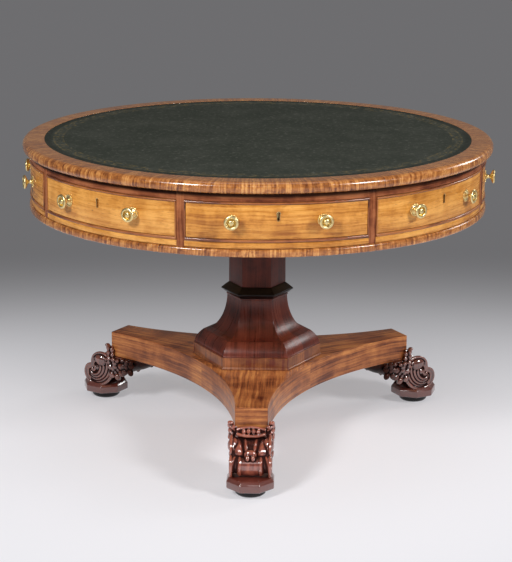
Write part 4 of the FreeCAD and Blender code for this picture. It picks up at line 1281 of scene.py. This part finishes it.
def slab(mesh, outline, low, high):
    """A flat slab over an outline in the plane of the leg, between two distances to the side."""
    near = [mesh.verts.new((x, low, z)) for x, z in outline]
    far = [mesh.verts.new((x, high, z)) for x, z in outline]
    join_loops(mesh, near, far)
    mesh.faces.new(near)
    mesh.faces.new(far)


EYE = (493.0, 83.0)
EYE_REACH = 24.0
GROWTH = 8.6
HUMP = (463.0, 104.0)
HUMP_REACH = (36.0, 33.0)
FRONT_HUMP = (464.0, 99.0)
FRONT_REACH = (36.0, 26.0)
LEG_END = 434.0
UNDERSIDE = 128.0
CORE_HALF = 44
RIM_ASIDE = 46
# Front shell: half its width, how far it is sunk, and its thickness
SHELL_HALF = 49
SHELL_SINK = 4
SHELL_DEPTH = 14
# Ridges on the volute's side: share of its reach, and turns at the start and the end
CRESCENTS = ((0.78, 0.60, -0.12), (0.63, 0.62, -0.06), (0.48, 0.62, 0.0), (0.34, 0.62, 0.06))
# Sections of the bracket: distance from the axis, half width and lowest level
BRACKET = ((291, 8, 126), (310, 19, 116), (330, 31, 105), (350, 40, 95), (370, 44, 88), (405, 45, 74),
           (445, 43, 52))
# Rounds that even out the carving, rounds that find its broad form, and the depth of a full hollow
SETTLING_ROUNDS = 3
SPREADING_ROUNDS = 18
HOLLOW_DEPTH = 0.8


def spiral(turns, share=1.0):
    """A point of the volute: turns from the toe, down and round to the heel."""
    reach = EYE_REACH * GROWTH ** turns * share
    angle = -math.tau * turns
    return EYE[0] + reach * math.cos(angle), EYE[1] + reach * math.sin(angle)


def hump(degrees, inset=0.0):
    """A point of the upper lobe, from the toe's side over its top to the heel."""
    angle = math.radians(degrees)
    return (HUMP[0] + (HUMP_REACH[0] - inset) * math.cos(angle),
            HUMP[1] + (HUMP_REACH[1] - inset) * math.sin(angle))


def bulge(across, centre, width):
    """A rounded ridge, 1 high at its centre."""
    return math.exp(-((across - centre) / width) ** 2)


def lobe_relief(share, across):
    """Height of the upper lobe's front, from its top to the step: ridges that draw in towards the middle."""
    drop = 3.0 * bulge(share, 1.0, 0.22) * bulge(across, 0, 9)
    return (2.5 * bulge(across, 47, 4) - 4.0 * bulge(across, 41 - 2 * share, 2.6)
            + 3.6 * bulge(across, 32 - 6 * share, 5.0) - 6.0 * bulge(across, 23.5 - 9 * share, 3.0)
            + 4.2 * bulge(across, 15 - 6 * share, 3.0) - 2.0 * bulge(across, 0, 7) + drop)


def volute_relief(share, across):
    """Height of the volute's front, from the step to the toe: a pair of drops, then ribs that spread."""
    outer = 36 + 12 * share
    hollow = min(1.0, 2.0 * share) * bulge(across, (26 + outer) / 2, 2.2 + 4.2 * share)
    pair = 3.4 * bulge(across, 6.5, 4.2) * bulge(share, 0.14, 0.13)
    return pair + 2.6 * bulge(across, 25, 2.6) - 8.0 * hollow + 3.6 * bulge(across, outer, 3.4)


def carve_front(mesh):
    """A curved shell down the front of the foot, over the upper lobe and round the volute."""
    columns = even(-SHELL_HALF, SHELL_HALF, 65)
    path = []
    for share in even(0, 1, 30):
        angle = math.radians(150 - 144 * share)
        ahead, up = math.cos(angle), math.sin(angle)
        point = Vector((FRONT_HUMP[0] + FRONT_REACH[0] * ahead, 0, FRONT_HUMP[1] + FRONT_REACH[1] * up))
        out = Vector((ahead / FRONT_REACH[0], 0, up / FRONT_REACH[1])).normalized()
        path.append((point, out, lobe_relief, share))
    for share in even(0, 1, 30):
        turns = -0.21 + 0.43 * share
        x, z = spiral(turns)
        out = Vector((math.cos(math.tau * turns), 0, -math.sin(math.tau * turns)))
        path.append((Vector((x, 0, z)), out, volute_relief, share))
    outer = [[mesh.verts.new(point + Vector((0, y, 0)) + out * (relief(share, abs(y)) - SHELL_SINK))
              for y in columns] for point, out, relief, share in path]
    inner = [[mesh.verts.new(point + Vector((0, y, 0)) - out * SHELL_DEPTH) for y in columns]
             for point, out, _, _ in path]
    for row in range(len(path) - 1):
        for column in range(len(columns) - 1):
            for grid in (outer, inner):
                mesh.faces.new((grid[row][column], grid[row][column + 1], grid[row + 1][column + 1],
                                grid[row + 1][column]))
        for column in (0, -1):
            mesh.faces.new((outer[row][column], outer[row + 1][column], inner[row + 1][column],
                            inner[row][column]))
    for row in (0, -1):
        for column in range(len(columns) - 1):
            mesh.faces.new((outer[row][column], outer[row][column + 1], inner[row][column + 1],
                            inner[row][column]))


def carve_scroll(mesh):
    """The volute and its upper lobe: a core, a front with ridges, and sides with crescents and a dome."""
    slab(mesh, [spiral(turns, 0.72) for turns in even(-0.42, 0.52, 40)], -CORE_HALF, CORE_HALF)
    slab(mesh, [hump(degrees, 18.0) for degrees in even(0, 351, 40)], -CORE_HALF, CORE_HALF)
    carve_front(mesh)
    for side in (-1, 1):
        cheek = sorted((side * 39, side * CORE_HALF))
        slab(mesh, [hump(degrees, 6.0) for degrees in even(0, 351, 40)], *cheek)
        slab(mesh, [(EYE[0] - 9 + 17 * math.cos(angle), EYE[1] + 8 + 14 * math.sin(angle))
                    for angle in even(0, math.tau * 0.97, 32)], *cheek)
        rim = [spiral(turns, 0.94) for turns in even(0.56, -1.25, 96)]
        rib(mesh, [Vector((x, side * RIM_ASIDE, z)) for x, z in rim], even(5.0, 1.2, 96))
        over = [hump(degrees, 4.0) for degrees in even(192, -14, 40)]
        rib(mesh, [Vector((x, side * RIM_ASIDE, z)) for x, z in over], even(4.6, 3.2, 40))
        for share, start, end in CRESCENTS:
            course = even(start, end, 56)
            ridge = [spiral(turns, share) for turns in course]
            rib(mesh, [Vector((x, side * 44.5, z)) for x, z in ridge],
                [0.8 + 0.048 * EYE_REACH * GROWTH ** turns * abs(math.sin(math.pi * step / 55)) ** 0.4
                 for step, turns in enumerate(course)])
        lump(mesh, (HUMP[0] + 4, side * 41, HUMP[1] + 9), (21, 14, 18), math.radians(-25))
        lump(mesh, (EYE[0], side * 47, EYE[1]), (4.6, 4.6, 4.6))
        lump(mesh, (EYE[0] - 13, side * 42, EYE[1] + 6), (9.5, 5.0, 8.5))
    lump(mesh, (500, 0, 101), (8, 15, 12))
    for side in (-1, 1):
        lump(mesh, (509, side * 6.5, 96), (5.5, 5.0, 7.0), math.radians(-30))


def carve_crest(mesh, eggs):
    """The leg's end: a row of eggs between an arched rib and a lip, and an upright leaf wing on each side."""
    end = LEG_END
    block = [(end + 0.4, 115), (end + 0.4, 147), (end + 7, 147), (end + 10, 143), (end + 11, 121)]
    slab(mesh, block, -34, 34)
    for egg in range(eggs):
        across = (egg - (eggs - 1) / 2) * 11.5
        lump(mesh, (end + 12, across, 140.5 - 0.004 * across ** 2), (6.4, 4.8, 6.6))
    course = even(-35, 35, 24)
    rib(mesh, [Vector((end + 9.5, across, 150 - 7 * (across / 35) ** 2)) for across in course], [3.0] * 24)
    rib(mesh, [Vector((end + 15.5, across, 129 + 6 * (across / 35) ** 2)) for across in course], [4.2] * 24)
    for side in (-1, 1):
        slab(mesh, [(end - 8, 106), (end - 8, 157), (end + 5, 158), (end + 8, 107)],
             *sorted((side * 41, side * 47)))
        slab(mesh, [(end + 0.4, 106), (end + 0.4, 150), (end + 5, 150), (end + 8, 107)],
             *sorted((side * 34, side * 47)))
        for lobe in range(4):
            level = 153 - 13.5 * lobe
            reach = 50 - 1.2 * lobe
            lump(mesh, (end + 3, side * reach, level), (5.4, 6.6, 8.2))
            lump(mesh, (end - 8, side * (reach - 2), level - 6), (6.0, 5.4, 7.0))
            vein = [Vector((end + 8, side * (38 + 12 * share), level - 13 + 11 * share))
                    for share in even(0, 1, 8)]
            rib(mesh, vein, even(1.6, 2.6, 8))
        lump(mesh, (end + 6, side * 49, 160), (6.5, 7.5, 4.6))
        lump(mesh, (end + 8, side * 41, 150), (4.0, 4.2, 5.0))


def carve_leaf(mesh, root, side, reach, lobes):
    """A leaf that spreads down from its root: rows of scales that grow towards a scalloped edge."""
    for lobe in range(lobes):
        tilt = math.radians(200 + 58 * lobe / (lobes - 1))
        out = Vector((math.cos(tilt), 0, math.sin(tilt)))
        blade = reach * (0.78 + 0.22 * math.sin(math.pi * lobe / (lobes - 1)))
        lump(mesh, root + out * blade * 0.5, (8.5, 7.0, blade * 0.5), math.pi / 2 - tilt)
        for share in (0.4, 0.82):
            size = 5.2 + 3.8 * share
            lump(mesh, root + out * blade * share + Vector((0, side * (7.0 - 3.0 * share), 0)),
                 (size, size * 0.75, size * 1.2), math.pi / 2 - tilt)
    for bead in range(3):
        lump(mesh, root + Vector((-1 - 14 * bead, side * 7.5, 3.0 - bead)), (6.4, 5.4, 5.6))


def carve_bracket(mesh):
    """The leaf bracket under the leg: a plain tail, then two carved leaves."""
    top = UNDERSIDE - 0.3
    arc = [math.radians(degrees) for degrees in even(180, 360, 15)]
    rings = [[mesh.verts.new((reach, half * math.cos(angle), top + (top - low) * math.sin(angle)))
              for angle in arc] for reach, half, low in BRACKET]
    for near, far in zip(rings, rings[1:]):
        join_loops(mesh, near, far)
    mesh.faces.new(rings[0])
    mesh.faces.new(rings[-1])
    for side in (-1, 1):
        carve_leaf(mesh, Vector((392, side * 43, 121)), side, 46, 3)
        carve_leaf(mesh, Vector((437, side * 43, 119)), side, 66, 4)


def mark_hollows(piece):
    """Store how deep each point lies in the carving: 0 on a ridge, 1 in a hollow."""
    data = piece.data
    count = len(data.vertices)
    points = np.empty(count * 3)
    data.vertices.foreach_get("co", points)
    points = points.reshape(-1, 3)
    ends = np.empty(len(data.edges) * 2, dtype=np.int32)
    data.edges.foreach_get("vertices", ends)
    first, second = ends.reshape(-1, 2).T
    links = np.bincount(ends, minlength=count)[:, None]

    def averaged(places):
        total = np.zeros_like(places)
        for axis in range(3):
            total[:, axis] = (np.bincount(first, places[second, axis], count)
                              + np.bincount(second, places[first, axis], count))
        return total / links

    for _ in range(SETTLING_ROUNDS):
        points = points + 0.5 * (averaged(points) - points)
    data.vertices.foreach_set("co", points.ravel())
    data.update()
    normals = np.empty(count * 3)
    data.vertices.foreach_get("normal", normals)
    broad = points
    for _ in range(SPREADING_ROUNDS):
        broad = averaged(broad)
    depth = ((broad - points) * normals.reshape(-1, 3)).sum(1)
    share = np.clip(0.5 + depth / (2 * HOLLOW_DEPTH * MM), 0, 1)
    data.attributes.new(HOLLOW, "FLOAT", "POINT").data.foreach_set("value", share.astype(np.float32))


def make_feet(base, colours):
    carved = carved_wood("carving_polish", *tones(colours, "carving"))
    mesh = new_mesh()
    carve_scroll(mesh)
    carve_crest(mesh, base.eggs)
    carve_bracket(mesh)
    bmesh.ops.scale(mesh, vec=(MM, MM, MM), verts=mesh.verts)
    master = as_object("foot_master", mesh, carved)
    remesh = master.modifiers.new("carve", "REMESH")
    remesh.mode = "VOXEL"
    remesh.voxel_size = base.carving_grid
    remesh.use_smooth_shade = True
    settle(master)
    mark_hollows(master)
    for leg in range(LEGS):
        foot = twin(master, f"carved_foot_{leg + 1}")
        foot.data.transform(Matrix.Rotation(leg_heading(base, leg), 4, "Z"))
        seat(foot, "base", "carved_mahogany", f"scroll_foot_{leg + 1}", crisp=False)
    drop(master)


# Stage

FLOOR_RINGS = (0, 1.5, 4, 40)
FLOOR_STEPS = 64
FLOOR_PLAIN = 0.4
SCREEN_POWER = 2.2
LAMPS = (
    # Name, place, aim, size and power
    ("left box", (-2.5, -3.1, 3.0), (0, 0, 0.45), 0.9, 146),
    ("right box", (3.0, -2.8, 2.6), (0, 0, 0.45), 0.9, 124),
    ("front box", (-0.3, -4.6, 3.4), (0, 0, 0.5), 1.2, 8),
    ("side box", (3.4, 1.6, 2.2), (0, 0, 0.6), 1.0, 30),
    ("overhead", (0.0, 0.2, 4.5), (0, 0, 0.6), 2.4, 20),
)


def floor_finish(stage):
    """A pale floor that fades to grey behind the table, and shows that fade plainly where no shadow falls."""
    finish = Finish("studio_floor")
    x, y = finish.place()[:2]
    behind = finish.maths("MAXIMUM", y + stage.fade_centre, 0.0)
    aside = (x + stage.fade_shift) * stage.fade_aside
    reach = finish.maths("SQRT", aside * aside + behind * behind)
    fade = finish.smooth(reach, stage.fade_start, stage.fade_end)
    level = (stage.floor_near - fade * (stage.floor_near - stage.floor_far)) ** SCREEN_POWER
    colour = finish.mixed(level, (0.0, 0.0, 0.0), (0.99, 0.98, 1.02))
    rays = finish.node("ShaderNodeLightPath")
    camera, glossy, through = (Signal(finish, rays.outputs[name])
                               for name in ("Is Camera Ray", "Is Glossy Ray", "Is Transmission Ray"))
    seen = finish.maths("MINIMUM", camera + glossy + through, 1.0)
    away = finish.maths("SQRT", x * x + y * y)
    open_floor = finish.smooth(away, stage.shadow_near, stage.shadow_far)
    plain = (FLOOR_PLAIN + (1 - FLOOR_PLAIN) * open_floor) * seen
    lit = finish.signal("ShaderNodeBsdfPrincipled",
                        sockets={"Base Color": colour, "Roughness": 0.9, "Specular IOR Level": 0.1})
    shown = finish.signal("ShaderNodeEmission", sockets={"Color": colour, "Strength": 1.0})
    mixed = finish.signal("ShaderNodeMixShader", sockets={0: plain, 1: lit, 2: shown})
    finish.node("ShaderNodeOutputMaterial", sockets={"Surface": mixed})
    return finish.material


def make_stage(stage):
    mesh = new_mesh()
    lathe(mesh, [(radius, 0) for radius in FLOOR_RINGS], FLOOR_STEPS, Matrix())
    floor = as_object("floor", mesh, floor_finish(stage))
    scene = bpy.context.scene
    world = bpy.data.worlds.new("studio")
    scene.world = world
    world.use_nodes = True
    shade = world.node_tree.nodes["Background"]
    shade.inputs["Color"].default_value = (1.0, 0.99, 0.98, 1.0)
    shade.inputs["Strength"].default_value = 0.14
    for name, place, aim, size, power in LAMPS:
        lamp = bpy.data.lights.new(name, "AREA")
        lamp.size = size
        lamp.energy = power
        holder = bpy.data.objects.new(name, lamp)
        holder.location = place
        holder.rotation_euler = (Vector(aim) - Vector(place)).to_track_quat("-Z", "Y").to_euler()
        scene.collection.objects.link(holder)
    camera = bpy.data.objects.new("camera", bpy.data.cameras.new("camera"))
    camera.data.lens = stage.lens
    camera.data.sensor_width = 36
    level = math.cos(stage.pitch)
    ahead = Vector((math.sin(stage.heading) * level, math.cos(stage.heading) * level, -math.sin(stage.pitch)))
    facing = ahead.to_track_quat("-Z", "Y").to_matrix() @ Matrix.Rotation(stage.roll, 3, "Z")
    camera.matrix_world = Matrix.Translation(stage.eye) @ facing.to_4x4()
    scene.collection.objects.link(camera)
    scene.camera = camera
    scene.view_settings.view_transform = "Standard"


class StageOperator(bpy.types.Operator):
    """Set up the floor, the lights and the camera"""

    bl_idname = "drum_table.stage"
    bl_label = "Stage"

    def execute(self, context):
        make_stage(context.scene.drum_stage)
        return {"FINISHED"}


class TopOperator(bpy.types.Operator):
    """Make the crossbanded rim and the leather"""

    bl_idname = "drum_table.top"
    bl_label = "Top"

    def execute(self, context):
        make_top(context.scene.drum_sizes, context.scene.drum_finishes)
        return {"FINISHED"}


class DrumOperator(bpy.types.Operator):
    """Make the rails, the stiles and the bottom moulding"""

    bl_idname = "drum_table.drum"
    bl_label = "Drum"

    def execute(self, context):
        make_drum(context.scene.drum_sizes, context.scene.drum_finishes)
        return {"FINISHED"}


class FrontsOperator(bpy.types.Operator):
    """Make the bowed fronts of the drawers and of the dummies"""

    bl_idname = "drum_table.fronts"
    bl_label = "Drawer fronts"

    def execute(self, context):
        make_fronts(context.scene.drum_sizes)
        return {"FINISHED"}


class CockbeadsOperator(bpy.types.Operator):
    """Make the cockbeads round the fronts"""

    bl_idname = "drum_table.cockbeads"
    bl_label = "Cockbeads"

    def execute(self, context):
        make_cockbeads(context.scene.drum_sizes, context.scene.drum_finishes)
        return {"FINISHED"}


class BrasswareOperator(bpy.types.Operator):
    """Make the knobs, roses and escutcheons"""

    bl_idname = "drum_table.brassware"
    bl_label = "Brassware"

    def execute(self, context):
        make_brassware(context.scene.drum_sizes, context.scene.drum_finishes)
        return {"FINISHED"}


class CarcaseOperator(bpy.types.Operator):
    """Finish the carcase, drawer linings, locks and ironwork"""

    bl_idname = "drum_table.carcase"
    bl_label = "Carcase"

    def execute(self, context):
        make_carcase(context.scene.drum_finishes)
        return {"FINISHED"}


class ColumnOperator(bpy.types.Operator):
    """Make the six-sided column"""

    bl_idname = "drum_table.column"
    bl_label = "Column"

    def execute(self, context):
        make_column(context.scene.base_sizes, context.scene.drum_finishes)
        return {"FINISHED"}


class PlatformOperator(bpy.types.Operator):
    """Make the three-legged platform"""

    bl_idname = "drum_table.platform"
    bl_label = "Platform"

    def execute(self, context):
        make_platform(context.scene.base_sizes, context.scene.drum_finishes)
        return {"FINISHED"}


class FootBlocksOperator(bpy.types.Operator):
    """Make the plinths and pads of the feet"""

    bl_idname = "drum_table.foot_blocks"
    bl_label = "Foot blocks"

    def execute(self, context):
        make_foot_blocks(context.scene.base_sizes, context.scene.drum_finishes)
        return {"FINISHED"}


class FeetOperator(bpy.types.Operator):
    """Carve the scroll feet"""

    bl_idname = "drum_table.feet"
    bl_label = "Scroll feet"

    def execute(self, context):
        make_feet(context.scene.base_sizes, context.scene.drum_finishes)
        return {"FINISHED"}


OPERATORS = (StageOperator, TopOperator, DrumOperator, FrontsOperator, CockbeadsOperator, BrasswareOperator,
             CarcaseOperator, ColumnOperator, PlatformOperator, FootBlocksOperator, FeetOperator)
GROUPS = {"drum_sizes": DrumSizes, "base_sizes": BaseSizes, "drum_finishes": Finishes,
          "drum_stage": StageSettings}


class TablePanel(bpy.types.Panel):
    """Steps that dress the table, in order"""

    bl_idname = "VIEW3D_PT_drum_table"
    bl_label = "Drum Table"
    bl_space_type = "VIEW_3D"
    bl_region_type = "UI"
    bl_category = "Drum Table"

    def draw(self, context):
        for operator in OPERATORS:
            self.layout.operator(operator.bl_idname)
        for name, group in GROUPS.items():
            box = self.layout.box()
            for setting in group.__annotations__:
                box.prop(getattr(context.scene, name), setting)


def register():
    for name, group in GROUPS.items():
        bpy.utils.register_class(group)
        setattr(bpy.types.Scene, name, PointerProperty(type=group))
    for kind in (*OPERATORS, TablePanel):
        bpy.utils.register_class(kind)


def unregister():
    for kind in reversed((*OPERATORS, TablePanel)):
        bpy.utils.unregister_class(kind)
    for name, group in GROUPS.items():
        delattr(bpy.types.Scene, name)
        bpy.utils.unregister_class(group)


def main():
    register()
    for operator in OPERATORS:
        getattr(bpy.ops.drum_table, operator.bl_idname.split(".")[1])()


if __name__ == "__main__":
    main()
